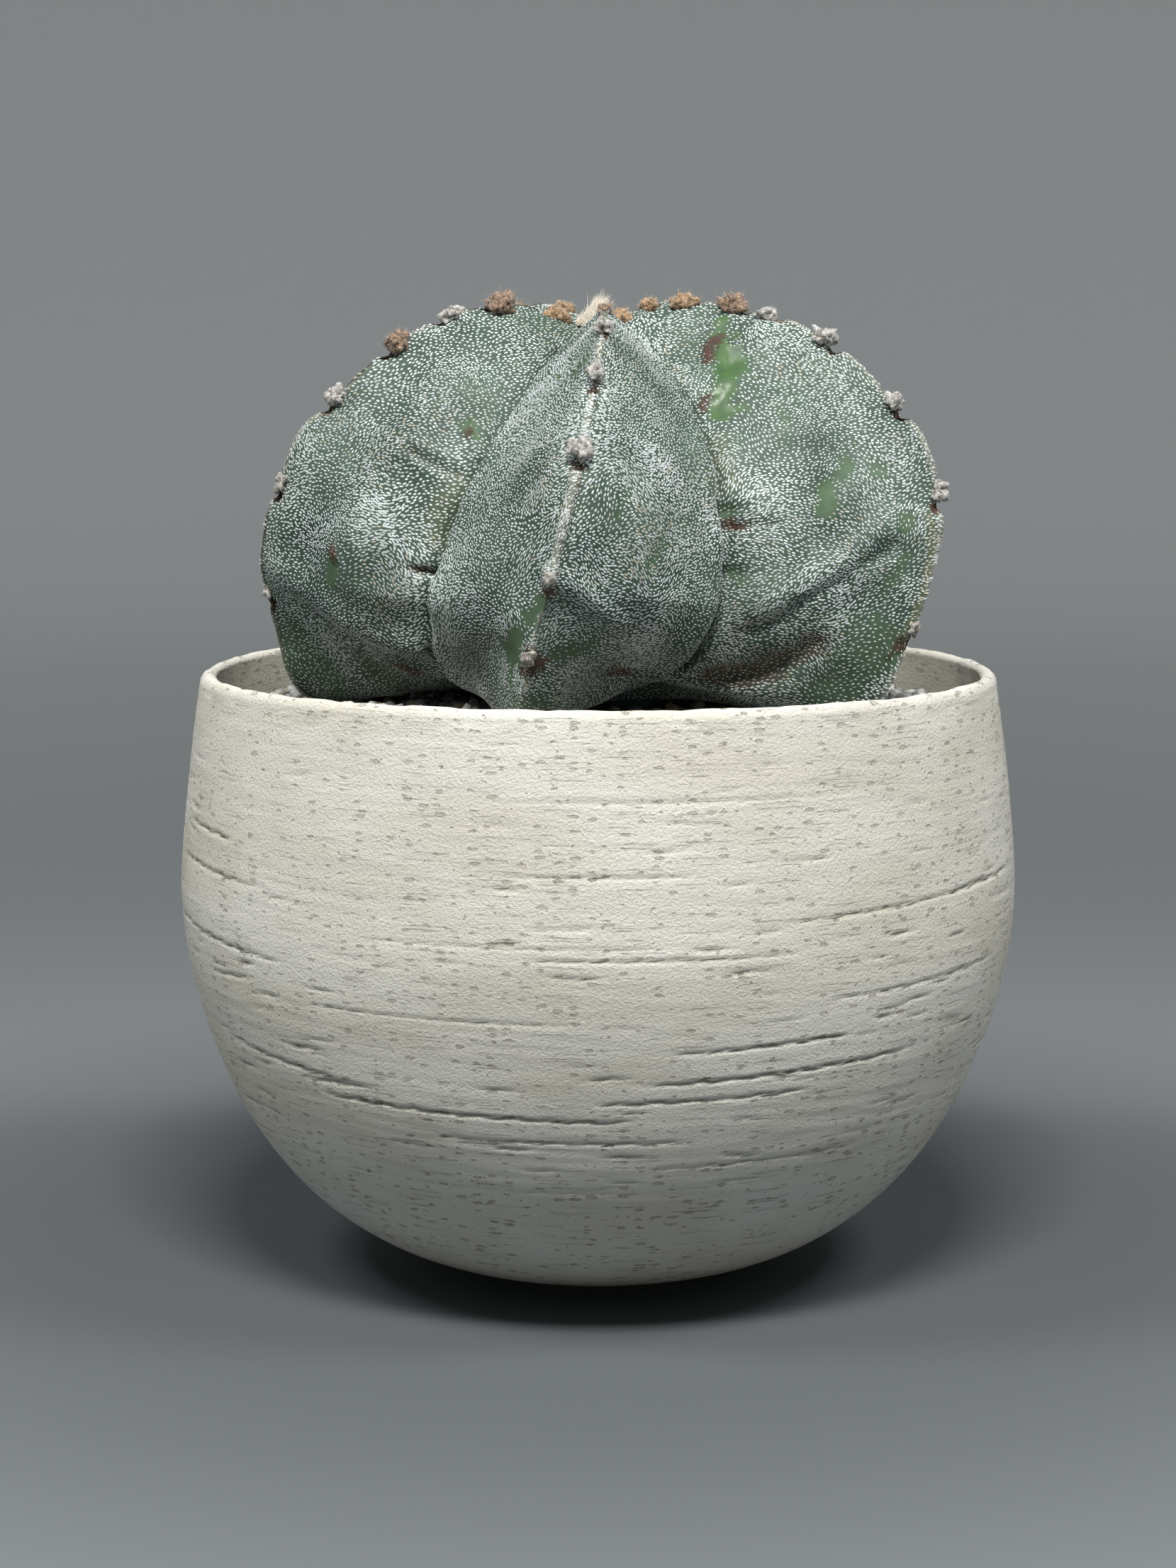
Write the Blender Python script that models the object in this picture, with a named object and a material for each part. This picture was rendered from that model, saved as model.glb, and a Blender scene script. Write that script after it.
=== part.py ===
"""A bishop's cap cactus in a turned clay bowl, as its separate solids.

The bowl stands on a low foot ring around a drain hole. A net covers the hole, then come
coarse pumice, potting soil and a thin dressing of gravel. The plant is one grown piece:
five ribs, with a short neck that goes down through the gravel into the soil.
Everything is in metres, +Z up, with the origin under the middle of the foot ring.
"""

import math

import bmesh
import bpy

MM = 0.001
GAP = 0.3 * MM
FULL_TURN = 2 * math.pi

# Bowl
BOWL_HEIGHT = 130.0 * MM
BELLY_RADIUS = 90.0 * MM
BELLY_HEIGHT = 83.7 * MM
RIM_RADIUS = 85.0 * MM
BELOW_BELLY_POWER = 1.74
BELOW_BELLY_ROOT = 2.96
ABOVE_BELLY_POWER = 1.5
LIP_WALL = 3.2 * MM
FLOOR_WALL = 6.5 * MM
LIP_ROUNDING = 1.2 * MM
FLOOR_TOP = 9.0 * MM
FLOOR_RADIUS = 38.0 * MM
FOOT_RADIUS = 26.0 * MM
FOOT_INNER_RADIUS = 18.0 * MM
FOOT_HEIGHT = 2.4 * MM
FOOT_RECESS = 2.0 * MM
BOWL_START = 3.6 * MM
DRAIN_RADIUS = 7.0 * MM
BOWL_ROWS = 13
BOWL_SIDES = 56

# Filling, from the floor up
NET_THICKNESS = 0.8 * MM
NET_RADIUS = 13.0 * MM
NET_HOLE = 2.2 * MM
PUMICE_TOP = 28.0 * MM
SOIL_TOP = 115.0 * MM
GRAVEL_TOP = 122.5 * MM
GRAVEL_EDGE = 118.8 * MM
GRAVEL_FLAT = 61.0 * MM
FILL_ROWS = 6
FILL_SIDES = 40

# Plant: crest and furrow outlines share their steps from the growing tip to the neck,
# each as (radius, height) in millimetres. Each rib's crest lies between the lean outline
# and the full one.
RIBS = 5
TIP = (0.0, 203.5)
LEAN_CREST = ((9.0, 205.5), (20.0, 207.3), (31.5, 205.3), (43.8, 199.8), (56.3, 189.6),
              (65.8, 177.4), (71.4, 165.0), (73.2, 152.0), (70.0, 139.5), (63.8, 124.4),
              (50.0, 123.2), (36.0, 126.4))
FULL_CREST = ((9.0, 205.5), (21.0, 206.9), (34.0, 204.8), (47.3, 200.4), (60.2, 191.5),
              (70.0, 180.2), (74.7, 168.0), (75.6, 155.0), (73.6, 141.5), (66.0, 124.6),
              (51.0, 123.2), (36.0, 126.4))
FURROW = ((5.0, 202.6), (12.0, 199.5), (20.0, 194.0), (28.5, 186.5), (37.0, 176.0),
          (43.5, 165.0), (47.5, 154.0), (48.5, 145.5), (46.2, 137.6), (40.5, 131.4),
          (30.5, 129.8), (27.0, 126.4))
FULLNESS = (0.1, 1.0, 0.3, 0.6, 0.0)
NECK_RADIUS = 24.0 * MM
NECK_TOP = 122.5 * MM
NECK_FOOT = 108.0 * MM
PLANT_FOOT = GRAVEL_TOP + GAP
FLANK_BULGE = 15.0 * MM
BULGE_ENDS = 0.80
BULGE_FADE = 0.16
CREST_ROUNDING = 0.09
KEEL_PINCH = 2.6
KEEL_TOP = 0.72
KEEL_FOOT = 0.86
TWIST_TOP = math.radians(2.0)
TWIST_WHOLE = math.radians(-24.0)
TWIST_POWER = 2.0
HEART = 160.0 * MM
TIP_OFFSET = 0.8 * MM
PLANT_SIDES = 80
PLANT_ROWS = 32


def clear_scene():
    """Remove every object, so the model starts from nothing."""
    for thing in list(bpy.data.objects):
        bpy.data.objects.remove(thing, do_unlink=True)


def finish_of(name, colour, roughness):
    """A plain material with one colour and roughness."""
    material = bpy.data.materials.new(name)
    material.use_nodes = True
    shader = material.node_tree.nodes["Principled BSDF"]
    shader.inputs["Base Color"].default_value = (*colour, 1.0)
    shader.inputs["Roughness"].default_value = roughness
    shader.inputs["Metallic"].default_value = 0.0
    return material


def add_solid(name, shape, material):
    """Turn a bmesh into a named object with its material, shaded smooth."""
    bmesh.ops.recalc_face_normals(shape, faces=shape.faces)
    mesh = bpy.data.meshes.new(name)
    shape.to_mesh(mesh)
    shape.free()
    mesh.shade_smooth()
    mesh.set_sharp_from_angle(angle=math.radians(35))
    mesh.materials.append(material)
    solid = bpy.data.objects.new(name, mesh)
    bpy.context.scene.collection.objects.link(solid)
    return solid


def turned(outline, sides):
    """A solid of revolution about Z from a closed outline of (radius, height)."""
    shape = bmesh.new()
    ring = [shape.verts.new((radius, 0.0, height)) for radius, height in outline]
    edges = [shape.edges.new(pair) for pair in zip(ring, ring[1:] + ring[:1])]
    bmesh.ops.spin(shape, geom=ring + edges, cent=(0, 0, 0), axis=(0, 0, 1),
                   angle=FULL_TURN, steps=sides, use_merge=True)
    bmesh.ops.remove_doubles(shape, verts=shape.verts, dist=0.01 * MM)
    bmesh.ops.dissolve_degenerate(shape, dist=0.001 * MM, edges=shape.edges)
    return shape


def bowl_radius(height):
    """The bowl's outer radius: a full round belly that closes in slightly to the rim."""
    if height < BELLY_HEIGHT:
        below = (BELLY_HEIGHT - height) / BELLY_HEIGHT
        return BELLY_RADIUS * (1 - below**BELOW_BELLY_POWER) ** (1 / BELOW_BELLY_ROOT)
    above = (height - BELLY_HEIGHT) / (BOWL_HEIGHT - BELLY_HEIGHT)
    return BELLY_RADIUS - (BELLY_RADIUS - RIM_RADIUS) * above**ABOVE_BELLY_POWER


def inner_radius(height):
    """The bowl's inner radius: the wall thickens from the lip to the floor."""
    share = (BOWL_HEIGHT - height) / (BOWL_HEIGHT - FLOOR_TOP)
    return bowl_radius(height) - LIP_WALL - (FLOOR_WALL - LIP_WALL) * share


def bowl_floor_height():
    """The lowest height at which the inner wall is still outside the flat floor."""
    height = FLOOR_TOP
    while inner_radius(height) < FLOOR_RADIUS:
        height += 0.5 * MM
    return height


def steps_between(low, high, count, ease=1.0):
    """Heights from low to high, closer together at the low end when ease is over 1."""
    return [low + (high - low) * (index / count) ** ease for index in range(count + 1)]


def add_bowl(clay):
    """The bowl: foot ring, drain hole, round wall, rounded lip and flat inner floor."""
    outside = [(bowl_radius(z), z)
               for z in steps_between(BOWL_START, BOWL_HEIGHT - LIP_ROUNDING, BOWL_ROWS, 1.4)]
    lip = [(RIM_RADIUS - LIP_ROUNDING * 0.3, BOWL_HEIGHT - LIP_ROUNDING * 0.3),
           (RIM_RADIUS - LIP_ROUNDING, BOWL_HEIGHT),
           (RIM_RADIUS - LIP_WALL + LIP_ROUNDING, BOWL_HEIGHT),
           (RIM_RADIUS - LIP_WALL + LIP_ROUNDING * 0.3, BOWL_HEIGHT - LIP_ROUNDING * 0.3)]
    inside = [(inner_radius(z), z)
              for z in reversed(steps_between(bowl_floor_height(), BOWL_HEIGHT - LIP_ROUNDING,
                                              BOWL_ROWS, 1.4))]
    foot = [(DRAIN_RADIUS, FLOOR_TOP), (DRAIN_RADIUS, FOOT_RECESS),
            (FOOT_INNER_RADIUS, FOOT_RECESS), (FOOT_INNER_RADIUS, 0.0),
            (FOOT_RADIUS, 0.0), (FOOT_RADIUS, FOOT_HEIGHT)]
    floor = [(FLOOR_RADIUS - 1.0 * MM, FLOOR_TOP)]
    add_solid("bowl", turned(foot + outside + lip + inside + floor, BOWL_SIDES), clay)


def add_drain_net(plastic):
    """A small round net that lies over the drain hole and keeps the pumice in."""
    low = FLOOR_TOP + GAP
    bpy.ops.mesh.primitive_cylinder_add(vertices=24, radius=NET_RADIUS, depth=NET_THICKNESS,
                                        location=(0, 0, low + NET_THICKNESS / 2))
    net = bpy.context.object
    net.name = "drain_net"
    net.data.name = "drain_net"
    net.data.materials.append(plastic)
    spacing = NET_HOLE * 2
    for row in (-1, 0, 1):
        for column in (-1, 0, 1):
            bpy.ops.mesh.primitive_cube_add(
                size=1.0, location=(column * spacing, row * spacing, low + NET_THICKNESS / 2))
            cutter = bpy.context.object
            cutter.name = f"net_hole_{row}_{column}"
            cutter.scale = (NET_HOLE, NET_HOLE, NET_THICKNESS * 3)
            cutter.hide_render = True
            cutter.display_type = "WIRE"
            cut = net.modifiers.new(cutter.name, "BOOLEAN")
            cut.operation = "DIFFERENCE"
            cut.object = cutter


def fill_outline(low, high, hollow=None):
    """The outline of a layer that fills the bowl from low to high, clear of the wall."""
    wall = [(inner_radius(z) - GAP, z) for z in steps_between(low, high, FILL_ROWS)]
    if hollow is None:
        return [(0.0, low), *wall, (0.0, high)]
    return [*hollow, *wall]


def add_fillings(pumice, soil, gravel):
    """Coarse pumice over the net, soil around the plant's neck, and the gravel dressing."""
    floor = bowl_floor_height()
    over_net = FLOOR_TOP + GAP + NET_THICKNESS + GAP
    flat = [(0.0, over_net), (NET_RADIUS + GAP, over_net),
            (NET_RADIUS + GAP, FLOOR_TOP + GAP), (FLOOR_RADIUS - 2.0 * MM, FLOOR_TOP + GAP)]
    wall = [(inner_radius(z) - GAP, z)
            for z in steps_between(floor + 0.5 * MM, PUMICE_TOP, FILL_ROWS // 2)]
    add_solid("pumice_layer", turned([*flat, *wall, (0.0, PUMICE_TOP)], FILL_SIDES), pumice)
    pocket = NECK_RADIUS + GAP
    hollow = [(pocket, SOIL_TOP), (pocket, NECK_FOOT - GAP), (0.0, NECK_FOOT - GAP),
              (0.0, PUMICE_TOP + GAP)]
    add_solid("soil", turned(fill_outline(PUMICE_TOP + GAP, SOIL_TOP, hollow), FILL_SIDES),
              soil)
    bed = [(GRAVEL_FLAT, GRAVEL_TOP), (pocket, GRAVEL_TOP), (pocket, SOIL_TOP + GAP)]
    add_solid("gravel_dressing",
              turned(fill_outline(SOIL_TOP + GAP, GRAVEL_EDGE, bed), FILL_SIDES), gravel)


def between(points, place):
    """A point on the smooth curve through the points, with place from 0 to 1."""
    span = place * (len(points) - 1)
    index = min(int(span), len(points) - 2)
    local = span - index
    before = points[max(index - 1, 0)]
    start, end = points[index], points[index + 1]
    after = points[min(index + 2, len(points) - 1)]
    return tuple(
        0.5 * (2 * b + (c - a) * local + (2 * a - 5 * b + 4 * c - d) * local**2
               + (3 * b - a - 3 * c + d) * local**3)
        for a, b, c, d in zip(before, start, end, after))


def eased(low, high, value):
    """Ease from 0 at low to 1 at high."""
    share = max(0.0, min((value - low) / (high - low), 1.0))
    return share * share * (3 - 2 * share)


def plant_point(down, azimuth):
    """The plant's surface: down runs 0 to 1 from the tip to the neck, azimuth once around."""
    rib_angle = FULL_TURN / RIBS
    rib = round(azimuth / rib_angle)
    offset = azimuth / rib_angle - rib
    full = FULLNESS[rib % RIBS]
    lean_crest = between((TIP, *LEAN_CREST), down)
    full_crest = between((TIP, *FULL_CREST), down)
    crest = [a * (1 - full) + b * full for a, b in zip(lean_crest, full_crest)]
    furrow = between((TIP, *FURROW), down)
    twist = TWIST_TOP + TWIST_WHOLE * down**TWIST_POWER
    share = min(abs(offset) * 2, 1.0)
    soft = math.sqrt(share**2 + CREST_ROUNDING**2) - CREST_ROUNDING * (1 - share)
    share = min(soft / math.sqrt(1 + CREST_ROUNDING**2), 1.0)
    share = 1 - (1 - share) ** (1 + KEEL_PINCH * eased(KEEL_TOP, KEEL_FOOT, down))
    crest_angle = rib * rib_angle + twist
    furrow_angle = (rib + math.copysign(0.5, offset)) * rib_angle + twist
    x = crest[0] * math.sin(crest_angle) * (1 - share)
    x += furrow[0] * math.sin(furrow_angle) * share
    y = -crest[0] * math.cos(crest_angle) * (1 - share)
    y -= furrow[0] * math.cos(furrow_angle) * share
    z = crest[1] * (1 - share) + furrow[1] * share
    point = [x * MM, y * MM, z * MM]
    width = min(furrow[0] / FURROW[6][0], 1.0)
    fade = max(0.0, min((BULGE_ENDS - down) / BULGE_FADE, 1.0))
    bulge = FLANK_BULGE * width * fade * share * math.sqrt(1 - share)
    away = [point[0], point[1], (point[2] - HEART) * 0.8]
    length = math.hypot(*away)
    point = [value + bulge * step / length for value, step in zip(point, away)]
    point[0] += TIP_OFFSET * eased(NECK_TOP, HEART, z * MM)
    point[2] = max(point[2], PLANT_FOOT)
    return point


def add_plant(skin):
    """The plant: a sphere's rows become the ribs, and its lowest rows the neck."""
    shape = bmesh.new()
    bmesh.ops.create_uvsphere(shape, u_segments=PLANT_SIDES, v_segments=PLANT_ROWS, radius=1.0)
    body_rows = PLANT_ROWS - 3
    for vertex in shape.verts:
        row = round(math.acos(max(-1.0, min(1.0, vertex.co.z))) / math.pi * PLANT_ROWS)
        azimuth = math.atan2(vertex.co.x, -vertex.co.y)
        if row == 0:
            vertex.co = (0.0, 0.0, TIP[1] * MM)
        elif row == PLANT_ROWS:
            vertex.co = (0.0, 0.0, NECK_FOOT)
        elif row > body_rows:
            height = NECK_TOP if row == body_rows + 1 else NECK_FOOT
            vertex.co = (NECK_RADIUS * math.sin(azimuth), -NECK_RADIUS * math.cos(azimuth),
                         height)
        else:
            vertex.co = plant_point(row / body_rows, azimuth)
    add_solid("cactus", shape, skin)


def main():
    """Build every piece."""
    clear_scene()
    clay = finish_of("rough_clay", (0.62, 0.58, 0.48), 0.92)
    plastic = finish_of("net_plastic", (0.03, 0.03, 0.03), 0.5)
    pumice = finish_of("pumice", (0.55, 0.52, 0.46), 0.95)
    soil = finish_of("potting_soil", (0.05, 0.035, 0.025), 1.0)
    gravel = finish_of("gravel", (0.6, 0.6, 0.58), 0.6)
    skin = finish_of("cactus_skin", (0.22, 0.28, 0.22), 0.7)
    add_bowl(clay)
    add_drain_net(plastic)
    add_fillings(pumice, soil, gravel)
    add_plant(skin)


main()
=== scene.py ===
"""The looks of a bishop's cap cactus in a turned clay bowl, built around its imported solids.

Each sub-assembly is a class with its sizes as fields. Lengths are in metres unless a name
or a comment says millimetres. Azimuth 0 faces the viewer's side (-Y) and grows towards +X.
"""

import logging
import math
from collections.abc import Sequence
from dataclasses import dataclass
from enum import Enum

import bpy
import numpy as np
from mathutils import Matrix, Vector
from mathutils.kdtree import KDTree


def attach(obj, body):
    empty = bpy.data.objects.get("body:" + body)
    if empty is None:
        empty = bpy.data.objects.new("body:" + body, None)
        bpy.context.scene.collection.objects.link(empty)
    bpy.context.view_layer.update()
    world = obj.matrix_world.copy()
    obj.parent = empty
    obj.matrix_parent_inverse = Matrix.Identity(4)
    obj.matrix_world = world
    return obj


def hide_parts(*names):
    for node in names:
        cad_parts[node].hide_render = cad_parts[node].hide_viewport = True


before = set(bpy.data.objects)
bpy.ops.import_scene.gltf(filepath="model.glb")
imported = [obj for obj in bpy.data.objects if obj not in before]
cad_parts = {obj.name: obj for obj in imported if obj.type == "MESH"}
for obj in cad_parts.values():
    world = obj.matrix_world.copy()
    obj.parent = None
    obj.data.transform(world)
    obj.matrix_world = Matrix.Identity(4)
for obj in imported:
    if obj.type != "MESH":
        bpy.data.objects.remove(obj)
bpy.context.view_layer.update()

MM = 0.001
FULL_TURN = 2 * math.pi
BAKE_MAP = "OFBake"
LOG = logging.getLogger("potted_cactus")
Array = np.ndarray
Shader = bpy.types.ShaderNodeTree
Node = bpy.types.ShaderNode
Socket = bpy.types.NodeSocket
Paint = tuple[Socket, Sequence[tuple]]


class Mood(Enum):
    """How far along its life an areole, a felt pad on a rib's crest, is."""

    YOUNG = "orange brown felt"
    WOOLLY = "brown and grey wool"
    CORKY = "grey, hard and cracked"
    WORN = "small flush scab"


YOUNG, WOOLLY, CORKY, WORN = Mood
FRONT, RIGHT, BACK_RIGHT, BACK_LEFT, LEFT = range(5)


# ---------------------------------------------------------------- helpers for finishes


def linear(code: str) -> tuple[float, float, float, float]:
    """Turn an sRGB hex colour into linear light.

    Args:
        code: The colour as "#RRGGBB".

    Returns:
        Red, green, blue and an alpha of 1.
    """
    parts = [int(code[i : i + 2], 16) / 255 for i in (1, 3, 5)]
    light = [c / 12.92 if c <= 0.04045 else ((c + 0.055) / 1.055) ** 2.4 for c in parts]
    return (light[0], light[1], light[2], 1.0)


def add_node(tree: Shader, kind: str, links: dict | None = None, **settings: object) -> Node:
    """Add a node with its settings and links.

    Args:
        tree: The node tree.
        kind: The node's type name, without its "ShaderNode".
        links: Input name or index to an output socket, a node or a plain value.
        settings: Attributes of the node.

    Returns:
        The new node.
    """
    node = tree.nodes.new("ShaderNode" + kind)
    for name, value in settings.items():
        setattr(node, name, value)
    for name, source in (links or {}).items():
        socket = node.inputs[name]
        if isinstance(source, bpy.types.Node):
            source = next(out for out in source.outputs if out.enabled)
        if isinstance(source, bpy.types.NodeSocket):
            tree.links.new(source, socket)
        else:
            socket.default_value = source
    return node


def combine(tree: Shader, operation: str, *values: object) -> Node:
    """Add a Math node that works on nodes, sockets or numbers."""
    return add_node(tree, "Math", dict(enumerate(values)), operation=operation)


def stored(tree: Shader, name: str) -> Socket:
    """Read a number that the mesh stores at each vertex."""
    return add_node(tree, "Attribute", attribute_name=name).outputs["Fac"]


def object_place(tree: Shader) -> Socket:
    """The place on the object, in metres."""
    return add_node(tree, "TexCoord").outputs["Object"]


def spaced(tree: Shader, size_mm: float, stretch: tuple) -> Node:
    """The place on the object counted in pattern steps of size_mm, longer by stretch."""
    scale = [1000 / (size_mm * axis) for axis in stretch]
    return add_node(tree, "Mapping", {"Vector": object_place(tree), "Scale": scale})


def noise_at(tree: Shader, size_mm: float, detail: float = 2.0, stretch: tuple = (1, 1, 1),
             rough: float = 0.5) -> Node:
    """Noise with bumps of a real size.

    Args:
        tree: The node tree.
        size_mm: The length of its bumps.
        detail: Finer layers added to it.
        stretch: How much longer its bumps are along each axis.
        rough: How strong the finer layers are.

    Returns:
        The noise node, whose first output runs from 0 to 1.
    """
    return add_node(tree, "TexNoise", {"Vector": spaced(tree, size_mm, stretch), "Scale": 1.0,
                                       "Detail": detail, "Roughness": rough})


def ramp(tree: Shader, source: object, low: float, high: float, to_low: float = 0.0,
         to_high: float = 1.0, ease: str = "SMOOTHSTEP") -> Node:
    """Turn a value between low and high into one between to_low and to_high."""
    return add_node(tree, "MapRange", {"Value": source, "From Min": low, "From Max": high,
                                       "To Min": to_low, "To Max": to_high},
                    interpolation_type=ease)


def chips(tree: Shader, size_mm: float, stretch: tuple, share: float) -> Node:
    """Scattered ragged chips of random sizes.

    Args:
        tree: The node tree.
        size_mm: How far apart they lie.
        stretch: How much longer they are along each axis.
        share: How many of the places have one.

    Returns:
        The node, which is 1 in a chip and 0 outside.
    """
    largest, soft_edge, raggedness = 0.38, 0.07, (0.8, 0.8, 0.8)
    place = spaced(tree, size_mm, stretch)
    wobble = add_node(tree, "TexNoise", {"Vector": place, "Scale": 3.2, "Detail": 3.0,
                                         "Roughness": 0.65}).outputs["Color"]
    moved = add_node(tree, "VectorMath", {0: wobble, 1: raggedness, 2: place},
                     operation="MULTIPLY_ADD")
    cell = add_node(tree, "TexVoronoi", {"Vector": moved, "Scale": 1.0})
    luck = add_node(tree, "SeparateColor", {0: cell.outputs["Color"]}).outputs["Red"]
    radius = ramp(tree, luck, 1 - share, 1.0, 0.0, largest, "LINEAR")
    inside = combine(tree, "SUBTRACT", radius, cell.outputs["Distance"])
    return ramp(tree, inside, 0.0, soft_edge)


def blend(tree: Shader, share: object, first: object, second: object) -> Socket:
    """Mix two colours.

    Args:
        tree: The node tree.
        share: How much of the second colour, as a node, a socket or a number.
        first: A hex colour or a socket.
        second: A hex colour or a socket.

    Returns:
        The mixed colour's socket.
    """
    node = add_node(tree, "Mix", {0: share}, data_type="RGBA")
    for socket, colour in ((node.inputs[6], first), (node.inputs[7], second)):
        if isinstance(colour, str):
            socket.default_value = linear(colour)
        else:
            tree.links.new(colour, socket)
    return node.outputs[2]


def clouds(tree: Shader, size_mm: float, detail: float, limits: tuple, first: object,
           second: object, most: float = 1.0) -> Socket:
    """Let a second colour show in soft clouds of a real size over a first one.

    Args:
        tree: The node tree.
        size_mm: The clouds' length.
        detail: Finer layers of their outline.
        limits: The noise at which the second colour starts and is full.
        first: A hex colour or a socket.
        second: A hex colour or a socket.
        most: How much of the second colour shows at full strength.

    Returns:
        The mixed colour's socket.
    """
    share = ramp(tree, noise_at(tree, size_mm, detail), *limits, 0.0, most)
    return blend(tree, share, first, second)


@dataclass(frozen=True)
class Finish:
    """A material named for what is made or grown; each kind paints its own pattern."""

    name: str
    roughness: float = 0.95
    sheen: float = 0.0

    def paint(self, tree: Shader) -> Paint:
        """Lay the pattern: its colour, and pairs of a height node and its rise in mm."""
        raise NotImplementedError

    def make(self) -> bpy.types.Material:
        """Build the material from its pattern.

        Returns:
            The material.
        """
        material = bpy.data.materials.new(self.name)
        material.use_nodes = True
        tree = material.node_tree
        shader = tree.nodes["Principled BSDF"]
        shader.inputs["Roughness"].default_value = self.roughness
        shader.inputs["Sheen Weight"].default_value = self.sheen
        colour, heights = self.paint(tree)
        tree.links.new(colour, shader.inputs["Base Color"])
        total = 0.0
        for source, rise in heights:
            total = combine(tree, "MULTIPLY_ADD", source, rise, total)
        if heights:
            bump = add_node(tree, "Bump", {"Height": total, "Distance": MM, "Strength": 1.0})
            tree.links.new(bump.outputs["Normal"], shader.inputs["Normal"])
        return material


# ---------------------------------------------------------------- finishes


@dataclass(frozen=True)
class RoughClay(Finish):
    """Coarse unglazed ivory stoneware, turned and scraped while leather hard.

    The eye gets a chalky, fully matt cream, scraped flat, with small torn pits and fine drag
    lines, both darkened by painted shade, and a few dark specks of grog.
    """

    name: str = "rough_scraped_stoneware"
    roughness: float = 0.94
    pale: str = "#EBE9DF"
    warm: str = "#E0DCCD"
    recess_shade: str = "#8A8371"
    speck: str = "#8F8778"
    stain: str = "#D6C9A6"
    grain_mm: float = 0.65
    drag_mm: float = 4.2
    torn_mm: float = 1.8
    speck_mm: float = 1.2
    cloud_mm: float = 30.0
    chip_share: float = 0.70

    def paint(self, tree: Shader) -> Paint:
        """Clouded cream, specks, painted shade in every pit and drag line, and a stain at the
        foot.

        Args:
            tree: The node tree.

        Returns:
            The colour's socket, and pairs of a height and its rise in millimetres.
        """
        grain = noise_at(tree, self.grain_mm, 4.0, (1.1, 1.1, 0.9), 0.7)
        torn = chips(tree, self.torn_mm, (1.8, 1.8, 0.62), self.chip_share)
        drag = chips(tree, self.drag_mm, (3.2, 3.2, 0.13), self.chip_share)
        specks = noise_at(tree, self.speck_mm, 1.0)
        lines = combine(tree, "MULTIPLY", drag,
                        combine(tree, "SUBTRACT", 1.1, stored(tree, "smooth")))
        cloud = ramp(tree, noise_at(tree, self.cloud_mm, 3.0, (1.4, 1.4, 0.6)), 0.35, 0.7)
        colour = blend(tree, cloud, self.pale, self.warm)
        colour = blend(tree, ramp(tree, specks, 0.74, 0.78, 0.0, 0.55), colour, self.speck)
        # Painted shade: the colour darkens in the drag lines, the carved pits and the torn chips.
        recess_shade_share = combine(tree, "MULTIPLY_ADD", lines, 0.25, stored(tree, "pit"))
        recess_shade_share = combine(tree, "MULTIPLY_ADD", torn, 0.55, recess_shade_share)
        colour = blend(tree, ramp(tree, recess_shade_share, 0.0, 1.0, 0.0, 0.75), colour, self.recess_shade)
        height = add_node(tree, "SeparateXYZ", {0: object_place(tree)}).outputs["Z"]
        colour = blend(tree, ramp(tree, height, 12 * MM, 4 * MM, 0.0, 0.4), colour, self.stain)
        return colour, ((grain, 0.45), (lines, -0.42), (torn, -0.60),
                        (ramp(tree, specks, 0.72, 0.78), -0.12))


@dataclass(frozen=True)
class WaxySkin(Finish):
    """A cactus's waxy green skin, seen in the gaps between its white flecks.

    The eye gets a dull deep green, a soft shine on bare patches, a fresh green where it has
    healed, brown cork on old scars and a yellow tint deep in the furrows.
    """

    name: str = "waxy_cactus_skin"
    roughness: float = 0.58
    deep: str = "#37483F"
    pale: str = "#55675A"
    tints: tuple = (("tan", "#747450"), ("seam", "#8B8A7C"), ("bare", "#536B4C"),
                    ("fresh", "#4A6B3B"), ("cork", "#53392F"))
    dry_coat: float = 0.03
    fresh_coat: float = 0.3
    coat_roughness: float = 0.25
    specular: float = 0.3

    def paint(self, tree: Shader) -> Paint:
        """Mottled green, tinted where the body stores a trace, cracked where it is cork.

        Args:
            tree: The node tree.

        Returns:
            The colour's socket, and pairs of a height and its rise in millimetres.
        """
        colour = clouds(tree, 16.0, 3.0, (0.3, 0.7), self.deep, self.pale)
        for name, tone in self.tints:
            colour = blend(tree, stored(tree, name), colour, tone)
        colour = clouds(tree, 2.6, 3.0, (0.25, 0.8), colour, self.deep, 0.5)
        cracked = combine(tree, "MULTIPLY", noise_at(tree, 0.8, 3.0), stored(tree, "cork"))
        return colour, ((noise_at(tree, 0.9), 0.10), (cracked, 0.7))

    def make(self) -> bpy.types.Material:
        """Build the material, with its wax.

        Returns:
            The material.
        """
        material = super().make()
        tree = material.node_tree
        sockets = tree.nodes["Principled BSDF"].inputs
        wet = ramp(tree, stored(tree, "fresh"), 0.2, 0.8, self.dry_coat, self.fresh_coat)
        tree.links.new(wet.outputs[0], sockets["Coat Weight"])
        sockets["Coat Roughness"].default_value = self.coat_roughness
        sockets["Specular IOR Level"].default_value = self.specular
        return material


@dataclass(frozen=True)
class TwoTone(Finish):
    """A finish of two tones in soft clouds, with a fine grain. Sizes in millimetres."""

    tone: str = "#FFFFFF"
    other: str = "#000000"
    cloud: float = 11.0
    limits: tuple = (0.3, 0.7)
    grain: float = 0.3
    rise: float = 0.06
    details: tuple = (3.0, 2.0)

    def paint(self, tree: Shader) -> Paint:
        """Clouds of the second tone over the first.

        Args:
            tree: The node tree.

        Returns:
            The colour's socket, and pairs of a height and its rise in millimetres.
        """
        cloud_detail, grain_detail = self.details
        colour = clouds(tree, self.cloud, cloud_detail, self.limits, self.tone, self.other)
        return colour, ((noise_at(tree, self.grain, grain_detail), self.rise),)


@dataclass(frozen=True)
class FeltFleck(TwoTone):
    """One tone of the tiny felt tufts: a matt off-white with a faint fibre, warmer in places."""

    sheen: float = 0.25


@dataclass(frozen=True)
class Stone(TwoTone):
    """Washed river pebbles of one tone: smooth, slightly glossy, with faint veins."""

    roughness: float = 0.5
    cloud: float = 1.6
    limits: tuple = (0.42, 0.7)
    grain: float = 0.6
    rise: float = 0.10


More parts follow.
